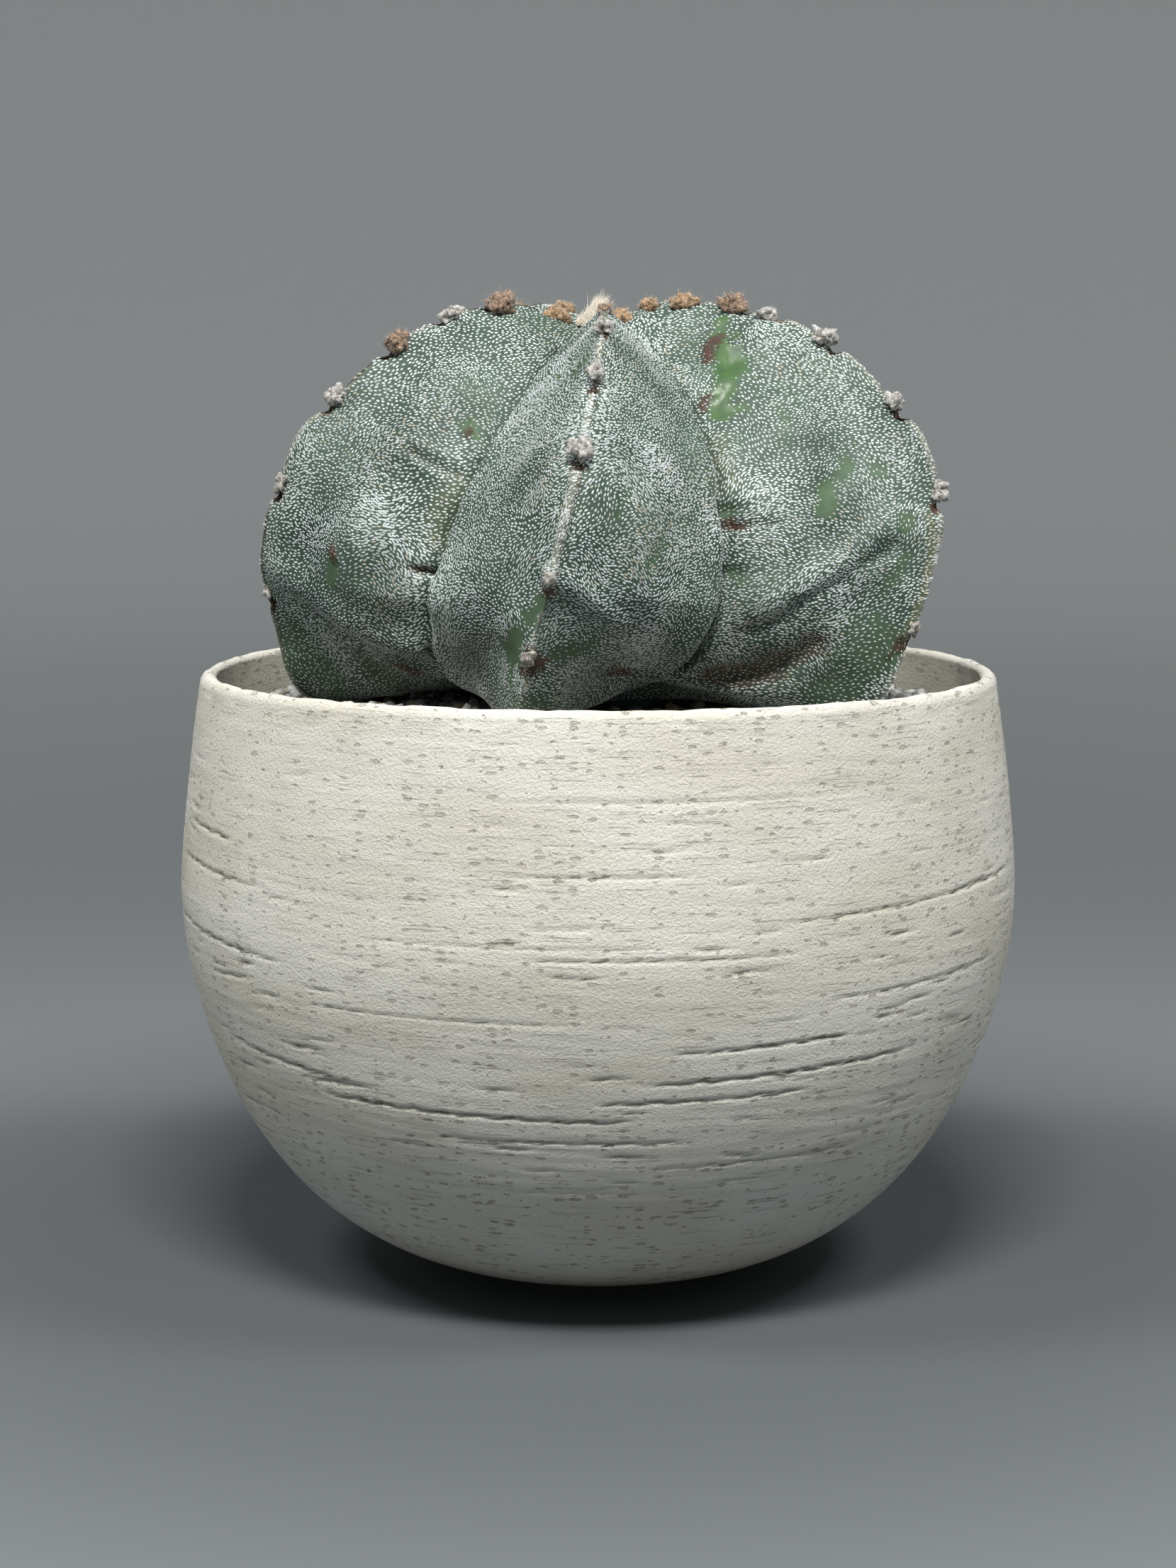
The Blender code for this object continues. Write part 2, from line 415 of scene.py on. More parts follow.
@dataclass(frozen=True)
class Felt(Finish):
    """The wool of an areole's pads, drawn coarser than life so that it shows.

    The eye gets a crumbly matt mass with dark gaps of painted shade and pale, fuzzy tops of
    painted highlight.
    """

    roughness: float = 0.97
    sheen: float = 0.4
    tones: tuple = ()
    clump_mm: float = 0.9

    def paint(self, tree: Shader) -> Paint:
        """The felt's tone over a painted shade for its gaps, with painted highlights on its tops.

        Args:
            tree: The node tree.

        Returns:
            The colour's socket, and pairs of a height and its rise in millimetres.
        """
        tone, shade, light = self.tones
        # Painted light: clouds of the shade tone stand for shade in the gaps, and clouds of the
        # light tone for highlights on the tops.
        colour = clouds(tree, self.clump_mm, 3.0, (0.35, 0.65), shade, tone)
        colour = clouds(tree, self.clump_mm * 0.45, 2.0, (0.5, 0.75), colour, light)
        return colour, ((noise_at(tree, self.clump_mm * 0.5, 3.0), 0.35),)


@dataclass(frozen=True)
class Wool(Finish):
    """Plant wool: fine hairs, darker at the root, each with its own tone.

    The eye gets a soft, lit fringe. The hairs are thicker than life so that they show.
    """

    roughness: float = 0.85
    sheen: float = 0.5
    tones: tuple = ()

    def paint(self, tree: Shader) -> Paint:
        """From the root's tone to the tip's, and a third tone on some hairs.

        Args:
            tree: The node tree.

        Returns:
            The colour's socket, and pairs of a height and its rise in millimetres.
        """
        root, tip, other = self.tones
        spot = add_node(tree, "SeparateXYZ", {0: add_node(tree, "UVMap", uv_map=BAKE_MAP)})
        colour = blend(tree, ramp(tree, spot.outputs["Y"], 0.0, 0.7), root, tip)
        each = add_node(tree, "TexNoise", {"W": spot.outputs["X"], "Scale": 90.0},
                        noise_dimensions="1D")
        return blend(tree, ramp(tree, each, 0.35, 0.65, 0.0, 0.7), colour, other), ()


@dataclass(frozen=True)
class Grit(Finish):
    """A bed of loose grains, such as potting soil, pumice or coarse sand.

    The eye gets a matt mass of grains of two tones with painted shade in the gaps between them.
    """

    tones: tuple = ()
    grain_mm: float = 1.5

    def paint(self, tree: Shader) -> Paint:
        """A tone for each grain, painted shade in the gap round it and a rounded top.

        Args:
            tree: The node tree.

        Returns:
            The colour's socket, and pairs of a height and its rise in millimetres.
        """
        tone, other, gap = self.tones
        cells = {"Vector": object_place(tree), "Scale": 1000 / self.grain_mm}
        each = add_node(tree, "TexVoronoi", cells).outputs["Color"]
        edge = add_node(tree, "TexVoronoi", cells, feature="DISTANCE_TO_EDGE")
        edge = edge.outputs["Distance"]
        number = add_node(tree, "SeparateColor", {0: each}).outputs[0]
        colour = blend(tree, ramp(tree, number, 0.3, 0.7), tone, other)
        # Painted shade: the gap tone darkens the edge of every grain.
        colour = blend(tree, ramp(tree, edge, 0.12, 0.0), colour, gap)
        return colour, ((ramp(tree, edge, 0.0, 0.35), self.grain_mm * 0.4),)


@dataclass(frozen=True)
class StudioPaper(Finish):
    """Matt backdrop paper, darker round the pot as a painted shadow, and paler far away."""

    name: str = "studio_paper"
    roughness: float = 0.9
    # The near grey is a painted shadow round the pot.
    near: str = "#5B6064"
    middle: str = "#7D8286"
    far: str = "#C9CDCE"

    def paint(self, tree: Shader) -> Paint:
        """Three greys by the distance from the middle, in metres.

        Args:
            tree: The node tree.

        Returns:
            The colour's socket, and pairs of a height and its rise in millimetres.
        """
        away = add_node(tree, "VectorMath", {0: object_place(tree)}, operation="LENGTH")
        away = away.outputs["Value"]
        # Painted shadow: the near grey darkens the paper round the pot.
        colour = blend(tree, ramp(tree, away, 0.10, 0.30), self.near, self.middle)
        return blend(tree, ramp(tree, away, 0.4, 1.5), colour, self.far), ()


FLECK_TONES = (("felt_white", "#DAE2E0", "#CED6D5"), ("felt_pale", "#CBD3D2", "#BFC8C7"),
               ("felt_grey", "#B9C0BF", "#A9AFAE"), ("felt_cream", "#C4C1B0", "#A9A597"))
# Each mood: a name, the clump size in mm, the felt's tone, its painted shade and its painted
# highlight.
FELT_TONES = {
    YOUNG: ("young", 0.9, "#AC8D69", "#6C523B", "#D9BF9C"),
    WOOLLY: ("brown", 0.9, "#957A62", "#46362B", "#C4AE99"),
    CORKY: ("corky", 1.2, "#BDBBB6", "#6E6760", "#DEDDDA"),
    WORN: ("worn", 1.0, "#B4B1A8", "#766E64", "#D0CEC8"),
}
WOOL_TONES = {
    YOUNG: ("young", "#80623F", "#C7A57C", "#E4CDAE"),
    WOOLLY: ("brown", "#5B4636", "#AC937C", "#D3C1AE"),
    CORKY: ("grey", "#8A837B", "#CFCCC7", "#E6E5E2"),
}
STONE_TONES = (("white_quartz", 0.42, "#E6E6E1", "#CFCFC9"),
               ("pale_granite", 0.5, "#C4C5C1", "#A5A6A2"),
               ("grey_granite", 0.5, "#8F9190", "#727473"),
               ("tan_pebble", 0.5, "#B5A68D", "#93856E"))


# ---------------------------------------------------------------- helpers for meshes


def deselect() -> None:
    """Deselect every object."""
    bpy.ops.object.select_all(action="DESELECT")


def smooth_step(low: float, high: float, value: Array) -> Array:
    """Ease from 0 at low to 1 at high."""
    share = np.clip((value - low) / (high - low), 0.0, 1.0)
    return share * share * (3 - 2 * share)


def unit(rows: Array) -> Array:
    """Rows scaled to a length of 1."""
    return rows / np.maximum(np.linalg.norm(rows, axis=1, keepdims=True), 1e-12)


def soft_noise(points: Array, size: float | tuple, seed: int, waves: int = 24) -> Array:
    """Smooth noise about 0 with a spread of about 1, as a sum of seeded waves.

    Args:
        points: Places, one row each.
        size: The length of its bumps, in the points' unit, or one length for each axis.
        seed: The seed.
        waves: How many waves to add up.

    Returns:
        One value for each point.
    """
    draw = np.random.default_rng(seed)
    ways = unit(draw.normal(size=(waves, points.shape[1])))
    ways *= FULL_TURN / draw.uniform(1.2, 2.6, (waves, 1)) / np.asarray(size)
    shifts = draw.uniform(0, FULL_TURN, waves)
    return np.sin(points @ ways.T + shifts).sum(axis=1) * math.sqrt(2 / waves)


def catmull(points: Sequence[tuple[float, float]], place: Array) -> Array:
    """Points on the smooth curve through a list of points.

    Args:
        points: The curve's own points.
        place: Where to read it, 0 at the first point and 1 at the last.

    Returns:
        One row for each place.
    """
    row = np.asarray(points, float)
    span = np.clip(place, 0, 1) * (len(row) - 1)
    index = np.minimum(span.astype(int), len(row) - 2)
    t = (span - index)[:, None]
    a, b = row[np.maximum(index - 1, 0)], row[index]
    c, d = row[index + 1], row[np.minimum(index + 2, len(row) - 1)]
    return 0.5 * (2 * b + (c - a) * t + (2 * a - 5 * b + 4 * c - d) * t**2
                  + (3 * b - a - 3 * c + d) * t**3)


def read_rows(collection: object, name: str, width: int, kind: type = np.float32) -> Array:
    """Read one property of a mesh's elements.

    Args:
        collection: The elements, such as a mesh's vertices.
        name: The property.
        width: How many numbers each element has.
        kind: The type that Blender stores.

    Returns:
        One row for each element.
    """
    flat = np.empty(len(collection) * width, kind)
    collection.foreach_get(name, flat)
    return flat.reshape(-1, width).astype(int if kind is np.int32 else float)


def set_points(piece: bpy.types.Object, points: Array) -> None:
    """Move a mesh's vertices to new places."""
    piece.data.vertices.foreach_set("co", points.astype(np.float32).ravel())
    piece.data.update()


def get_points(piece: bpy.types.Object) -> Array:
    """Read a mesh's vertex places as rows."""
    return read_rows(piece.data.vertices, "co", 3)


def get_normals(piece: bpy.types.Object) -> Array:
    """Read a mesh's vertex normals as rows."""
    return read_rows(piece.data.vertex_normals, "vector", 3)


def set_attribute(piece: bpy.types.Object, name: str, values: Array) -> None:
    """Store one number for each vertex under a name that a material reads."""
    layer = piece.data.attributes.new(name, "FLOAT", "POINT")
    layer.data.foreach_set("value", values.astype(np.float32))


def mesh_piece(name: str, points: Array, faces: Array, material: bpy.types.Material,
               spots: Array | None = None) -> bpy.types.Object:
    """Make a smooth mesh object that rides on the body.

    Args:
        name: The piece's name.
        points: One row for each vertex.
        faces: One row of vertex numbers for each face.
        material: Its material.
        spots: A place on the bake map for each vertex.

    Returns:
        The new object, at the origin.
    """
    mesh = bpy.data.meshes.new(name)
    count, corners = faces.shape
    order = faces.astype(np.int32).ravel()
    mesh.vertices.add(len(points))
    mesh.vertices.foreach_set("co", points.astype(np.float32).ravel())
    mesh.loops.add(count * corners)
    mesh.loops.foreach_set("vertex_index", order)
    mesh.polygons.add(count)
    mesh.polygons.foreach_set("loop_start", np.arange(count, dtype=np.int32) * corners)
    mesh.update(calc_edges=True)
    mesh.shade_smooth()
    if spots is not None:
        layer = mesh.uv_layers.new(name=BAKE_MAP)
        layer.data.foreach_set("uv", spots[order].astype(np.float32).ravel())
    mesh.materials.append(material)
    piece = bpy.data.objects.new(name, mesh)
    bpy.context.scene.collection.objects.link(piece)
    settle(piece)
    return piece


def settle(piece: bpy.types.Object) -> None:
    """Make a finished piece ride on the body and report it.

    Args:
        piece: The piece.
    """
    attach(piece, "root")
    LOG.info("%s: %d faces", piece.name, len(piece.data.polygons))


def repeat_faces(faces: Sequence, count: int, corners: int) -> Array:
    """The faces of a shape with that many vertices, repeated for count copies of it."""
    steps = np.arange(count)[:, None, None] * corners
    return (np.asarray(faces)[None] + steps).reshape(-1, len(faces[0]))


def copies(shape: Array, faces: Array, places: Array, axes: Array) -> tuple[Array, Array]:
    """Copy one small shape to many places.

    Args:
        shape: The shape's vertices, one row each.
        faces: Its faces.
        places: One row for each copy.
        axes: For each copy, its scaled and turned axes as three rows.

    Returns:
        The vertices and the faces of all copies.
    """
    points = np.einsum("vk,nkd->nvd", shape, axes) + places[:, None, :]
    return points.reshape(-1, 3), repeat_faces(faces, len(places), len(shape))


def round_shape(steps: int) -> tuple[Array, Array]:
    """The vertices and faces of a ball of radius 1, as an icosphere.

    Args:
        steps: How often it is divided.

    Returns:
        Its vertices and its triangles.
    """
    deselect()
    bpy.ops.mesh.primitive_ico_sphere_add(subdivisions=steps, radius=1.0)
    ball = bpy.context.object
    points = get_points(ball)
    faces = read_rows(ball.data.polygons, "vertices", 3, np.int32)
    mesh = ball.data
    bpy.data.objects.remove(ball)
    bpy.data.meshes.remove(mesh)
    return points, faces


def hairs(roots: Array, tips: Array, girth: float, bend: Array, rings: int,
          draw: np.random.Generator) -> tuple[Array, Array, Array]:
    """Tapered, bent, three-sided hairs with closed ends.

    Args:
        roots: Where each hair starts.
        tips: Where each hair would end if it were straight.
        girth: The radius at the root.
        bend: One row for each hair, how far its tip bends away.
        rings: How many rings each hair has under its tip.
        draw: The random draws that number the hairs on the bake map.

    Returns:
        The vertices, the faces and each vertex's place on the bake map, across for the
        hair's own number and up for how far along it is.
    """
    count = len(roots)
    along = tips - roots
    side = unit(np.cross(along, bend + [1e-9, 2e-9, 3e-9]))
    other = unit(np.cross(along, side))
    turns = np.arange(3) * FULL_TURN / 3
    shares = np.arange(rings) / rings
    points = np.empty((count, rings * 3 + 1, 3))
    for ring, share in enumerate(shares):
        centre = roots + along * share + bend * share**2
        radius = girth * (1 - 0.75 * share)
        for corner, turn in enumerate(turns):
            edge = side * math.cos(turn) + other * math.sin(turn)
            points[:, ring * 3 + corner] = centre + radius * edge
    points[:, -1] = tips + bend
    faces = [(0, 2, 1)]
    for ring in range(rings - 1):
        for corner in range(3):
            a, b = ring * 3 + corner, ring * 3 + (corner + 1) % 3
            faces += [(a, b, b + 3), (a, b + 3, a + 3)]
    top = rings * 3
    faces += [(top - 3 + corner, top - 3 + (corner + 1) % 3, top) for corner in range(3)]
    if np.einsum("nd,nd->n", np.cross(side, other), along).mean() < 0:
        faces = [face[::-1] for face in faces]
    number = draw.uniform(0.01, 0.99, count)
    spots = np.empty((count, top + 1, 2))
    spots[:, :, 0] = number[:, None]
    spots[:, :-1, 1] = np.repeat(shares, 3)[None]
    spots[:, -1, 1] = 1.0
    return points.reshape(-1, 3), repeat_faces(faces, count, top + 1), spots.reshape(-1, 2)


# ---------------------------------------------------------------- the plant


@dataclass(frozen=True)
class Mark:
    """A fold, dent, hole or patch along a path on a rib.

    The path's points are (down, across): 0 to 1 from the tip to the neck, and -1 to 1 from
    the rib's left furrow over its crest to its right furrow. Reach and rise are millimetres.
    """

    path: tuple
    reach: float
    rise: float = 0.0
    bare: float = 0.0
    fresh: float = 0.0
    cork: float = 0.0
    tan: float = 0.0


@dataclass(frozen=True)
class Areole:
    """A felt pad on a rib's crest. Its width and its notch's depth are millimetres."""

    rib: int
    down: float
    mood: Mood
    width: float
    notch: float = 0.8


AREOLES = tuple(Areole(rib, *row) for rib, rows in {
    FRONT: ((0.160, WOOLLY, 3.4), (0.286, CORKY, 4.8, 1.2), (0.385, CORKY, 4.8, 1.6),
        (0.487, CORKY, 4.8, 2.2), (0.645, WORN, 2.4), (0.748, WORN, 3.0)),
    RIGHT: ((0.040, YOUNG, 6.2), (0.148, YOUNG, 6.0), (0.214, WOOLLY, 5.8), (0.262, CORKY, 4.8),
        (0.339, CORKY, 5.4, 2.0), (0.446, CORKY, 5.2, 2.0), (0.574, CORKY, 4.6, 1.4),
        (0.745, WORN, 3.4)),
    BACK_RIGHT: ((0.150, YOUNG, 4.4), (0.222, YOUNG, 4.6), (0.285, WOOLLY, 5.0),
        (0.345, CORKY, 4.6, 1.4), (0.446, CORKY, 4.6, 1.8), (0.560, CORKY, 4.2),
        (0.705, WORN, 3.0)),
    BACK_LEFT: ((0.115, YOUNG, 4.4), (0.235, WOOLLY, 4.2), (0.290, CORKY, 4.6, 1.2),
        (0.380, CORKY, 4.8, 1.8), (0.484, CORKY, 4.4, 1.6), (0.610, WORN, 3.2),
        (0.742, WORN, 2.6)),
    LEFT: ((0.092, YOUNG, 6.0), (0.186, WOOLLY, 6.0), (0.262, CORKY, 5.2, 1.2),
        (0.337, WOOLLY, 5.2, 1.4), (0.425, CORKY, 4.8, 1.4), (0.543, WORN, 4.2, 1.2),
        (0.700, WORN, 2.6)),
}.items() for row in rows)

FURROW_STEPS = (0.20, 0.36, 0.52, 0.66, 0.80)
TRACES = ("bare", "fresh", "cork", "tan")


def groove(side: float) -> Mark:
    """The sharp line down the bottom of a rib's left furrow, -1, or its right one, 1."""
    return Mark(tuple((down, side) for down in FURROW_STEPS), 1.1, -2.2)


MARKS: dict[int, list[Mark]] = {}
# The front rib: bare patches beside the crest, slits, folds, and a ridge along its crest.
MARKS[FRONT] = [
    Mark(((0.722, -0.22), (0.748, -0.21)), 3.4, -0.4, bare=1.0),
    Mark(((0.696, -0.14), (0.714, -0.19)), 2.0, bare=0.5),
    Mark(((0.668, -0.06), (0.692, -0.11)), 1.9, bare=0.95),
    Mark(((0.743, 0.16), (0.734, 0.35)), 1.7, bare=0.85),
    Mark(((0.334, -0.56), (0.346, -0.50)), 0.8, -0.2, bare=1.0),
    Mark(((0.350, -0.19), (0.363, -0.29)), 0.9, -0.2, bare=0.9),
    Mark(((0.640, 0.02), (0.656, 0.25), (0.690, 0.47)), 2.4, 1.3),
    Mark(((0.690, 0.15), (0.715, 0.36), (0.760, 0.42), (0.83, 0.40)), 6.0, -1.7),
    Mark(((0.74, -0.40), (0.82, -0.36)), 5.0, -1.2),
    Mark(((0.785, 0.34), (0.80, 0.42)), 1.2, -0.6, cork=0.9),
    Mark(((0.746, 0.02), (0.756, 0.08)), 1.4, 0.3, cork=1.0),
    Mark(((0.46, 0.94), (0.52, 0.97)), 3.4, tan=0.35),
    Mark(((0.13, 0.0), (0.30, 0.0), (0.48, 0.0), (0.66, 0.0)), 1.5, 0.9),
    Mark(((0.22, -0.90), (0.40, -0.90), (0.58, -0.91), (0.78, -0.90)), 2.6, 1.0),
    Mark(((0.22, 0.90), (0.40, 0.90), (0.58, 0.91), (0.78, 0.90)), 2.6, 1.0),
    groove(-1.0),
    groove(1.0),
    Mark(((0.13, 0.055), (0.30, 0.050), (0.48, 0.055), (0.64, 0.06)), 1.0, -0.9),
    Mark(((0.20, -0.06), (0.34, -0.055), (0.48, -0.06), (0.62, -0.06)), 1.1, -0.45),
    Mark(((0.44, -0.62), (0.56, -0.52), (0.66, -0.50)), 6.0, -0.7),
    Mark(((0.30, 0.42), (0.44, 0.50), (0.58, 0.46)), 7.0, 0.8),
    Mark(((0.565, 0.60), (0.60, 0.52)), 1.0, -0.2, bare=0.6),
    Mark(((0.520, 0.34), (0.555, 0.30)), 0.8, -0.2, bare=0.55),
    Mark(((0.80, 0.05), (0.85, 0.08)), 4.0, bare=0.55),
]
# The right rib: a healed scar under the second pad, bare patches, a crease, folds.
MARKS[RIGHT] = [
    Mark(((0.236, -0.37), (0.256, -0.50)), 1.1, -0.3, bare=1.0, fresh=0.8),
    Mark(((0.256, -0.50), (0.280, -0.60), (0.300, -0.665)), 1.7, -0.7, bare=1.0, fresh=1.0),
    Mark(((0.284, -0.56), (0.296, -0.55)), 1.2, -0.3, bare=1.0, fresh=0.7),
    Mark(((0.306, -0.64), (0.318, -0.74)), 2.3, -0.5, bare=1.0, fresh=1.0),
    Mark(((0.323, -0.63), (0.330, -0.62)), 0.8, bare=0.9, fresh=0.6),
    Mark(((0.322, -0.76), (0.340, -0.83)), 1.4, 0.5, bare=1.0, fresh=1.0),
    Mark(((0.342, -0.78), (0.354, -0.86), (0.366, -0.86)), 2.0, -0.6, bare=1.0, fresh=0.9),
    Mark(((0.372, -0.78), (0.378, -0.76)), 0.9, bare=0.8, fresh=0.3),
    Mark(((0.262, -0.40), (0.268, -0.42)), 1.0, bare=0.8, fresh=0.3),
    Mark(((0.252, -0.47), (0.262, -0.63), (0.283, -0.74)), 1.05, 0.5, cork=1.0),
    Mark(((0.335, -0.89), (0.352, -0.95)), 1.0, 0.4, cork=1.0),
    Mark(((0.492, -0.43), (0.500, -0.50)), 1.8, -0.3, bare=1.0),
    Mark(((0.508, -0.585), (0.533, -0.61)), 1.7, -0.3, bare=1.0),
    Mark(((0.500, -0.53), (0.507, -0.57)), 1.1, -0.2, bare=0.7),
    Mark(((0.506, -0.34), (0.514, -0.30)), 1.2, -0.2, bare=0.75),
    Mark(((0.590, -0.22), (0.60, -0.25)), 1.3, -0.2, bare=0.8),
    Mark(((0.400, -0.62), (0.440, -0.68)), 1.0, -0.2, bare=0.5),
    Mark(((0.640, -0.22), (0.665, -0.26)), 1.2, -0.2, bare=0.6),
    Mark(((0.519, -0.96), (0.525, -0.88), (0.534, -0.80)), 0.8, -1.1, cork=0.2),
    Mark(((0.512, -0.97), (0.519, -0.95)), 1.0, -1.4, cork=1.0),
    Mark(((0.490, -0.97), (0.498, -0.95)), 0.9, -1.5, bare=0.8),
    Mark(((0.580, -0.97), (0.590, -0.95)), 0.9, -1.3, bare=0.8),
    Mark(((0.620, -0.30), (0.629, -0.40), (0.643, -0.54), (0.653, -0.64), (0.671, -0.72), (0.705,
         -0.82)), 1.9, -1.2),
    Mark(((0.590, -0.34), (0.608, -0.54), (0.625, -0.66), (0.655, -0.78)), 3.8, 1.2),
    Mark(((0.668, -0.36), (0.684, -0.52), (0.705, -0.66), (0.735, -0.78)), 4.6, -0.6),
    groove(-1.0),
    Mark(((0.752, -0.42), (0.771, -0.38), (0.790, -0.40), (0.812, -0.47)), 3.0, -2.2, cork=0.55),
    Mark(((0.800, -0.36), (0.818, -0.50)), 2.2, -0.6, cork=0.65),
    Mark(((0.60, -0.10), (0.68, -0.06), (0.75, -0.07)), 1.2, tan=0.5),
    Mark(((0.75, -0.16), (0.82, -0.12)), 5.0, bare=0.5),
    Mark(((0.30, -0.40), (0.42, -0.62), (0.56, -0.82)), 6.5, 0.9),
    Mark(((0.36, -0.22), (0.48, -0.36), (0.60, -0.50)), 5.5, -0.7),
    Mark(((0.40, -0.94), (0.46, -0.95)), 2.6, tan=0.35),
]
# The left rib: a slit into the furrow, green cracks, a fold over its foot.
MARKS[LEFT] = [
    Mark(((0.618, 0.565), (0.642, 0.55)), 1.75, -0.3, bare=1.0),
    Mark(((0.592, 0.53), (0.603, 0.56)), 1.0, 0.4, cork=0.9),
    Mark(((0.788, 0.49), (0.800, 0.52)), 1.2, 0.3, cork=0.9),
    Mark(((0.765, 0.10), (0.82, 0.12)), 5.2, bare=0.6),
    Mark(((0.80, 0.30), (0.83, 0.34)), 3.0, bare=0.4),
    Mark(((0.586, 0.92), (0.584, 0.985)), 0.9, -2.2, cork=0.8),
    Mark(((0.447, 0.70), (0.450, 0.83), (0.450, 0.94)), 0.9, -1.1, cork=0.2),
    Mark(((0.388, 0.84), (0.396, 0.93)), 1.0, -0.8, bare=0.9, fresh=0.25),
    Mark(((0.378, 0.86), (0.386, 0.88)), 0.7, -0.4, bare=0.8),
    Mark(((0.401, 0.88), (0.404, 0.89)), 0.7, 0.2, cork=1.0),
    Mark(((0.46, 0.95), (0.50, 0.93), (0.54, 0.96)), 3.2, tan=0.35),
    Mark(((0.706, 0.25), (0.724, 0.40), (0.756, 0.62), (0.80, 0.80), (0.86, 0.90)), 2.4, -1.1),
    Mark(((0.660, 0.20), (0.680, 0.40), (0.712, 0.62), (0.752, 0.80)), 4.4, 1.4),
    Mark(((0.745, 0.30), (0.83, 0.42)), 6.0, -0.5),
    groove(1.0),
    Mark(((0.34, 0.30), (0.50, 0.40), (0.64, 0.36)), 5.5, -0.9),
    Mark(((0.30, 0.50), (0.46, 0.62), (0.60, 0.62)), 5.0, 0.9),
    Mark(((0.48, 0.80), (0.60, 0.84), (0.70, 0.84)), 4.0, -0.9),
]
# The two ribs at the back: bare patches, scabs and folds.
MARKS[BACK_RIGHT] = [
    Mark(((0.48, -0.45), (0.53, -0.52)), 2.6, -0.3, bare=1.0),
    Mark(((0.62, 0.35), (0.65, 0.42)), 2.2, -0.3, bare=0.9),
    Mark(((0.66, -0.08), (0.675, -0.30), (0.71, -0.56), (0.76, -0.76)), 2.4, -2.0),
    Mark(((0.62, -0.12), (0.635, -0.36), (0.67, -0.60)), 4.2, 1.3),
    Mark(((0.68, 0.10), (0.70, 0.40), (0.76, 0.68)), 2.6, -1.9),
    Mark(((0.30, 0.62), (0.34, 0.66)), 1.4, 0.3, cork=1.0),
    Mark(((0.32, 0.30), (0.50, 0.46), (0.62, 0.50)), 6.0, -0.8),
    Mark(((0.77, -0.24), (0.82, -0.26)), 4.0, bare=0.6),
]
MARKS[BACK_LEFT] = [
    Mark(((0.40, 0.36), (0.43, 0.44)), 2.0, -0.3, bare=1.0),
    Mark(((0.57, -0.50), (0.62, -0.54)), 2.6, -0.3, bare=0.95),
    Mark(((0.70, 0.10), (0.72, 0.36), (0.77, 0.62), (0.82, 0.80)), 2.6, -2.1),
    Mark(((0.655, 0.12), (0.675, 0.38), (0.715, 0.62)), 4.2, 1.4),
    Mark(((0.66, -0.10), (0.69, -0.42), (0.74, -0.72)), 2.2, -1.8),
    Mark(((0.52, -0.94), (0.525, -0.82)), 0.9, -1.3, cork=0.5),
    Mark(((0.78, 0.50), (0.80, 0.64)), 2.6, -0.8, cork=0.8),
    Mark(((0.30, -0.45), (0.46, -0.55), (0.60, -0.50)), 6.0, 0.9),
    Mark(((0.76, 0.22), (0.82, 0.22)), 4.2, bare=0.6),
]


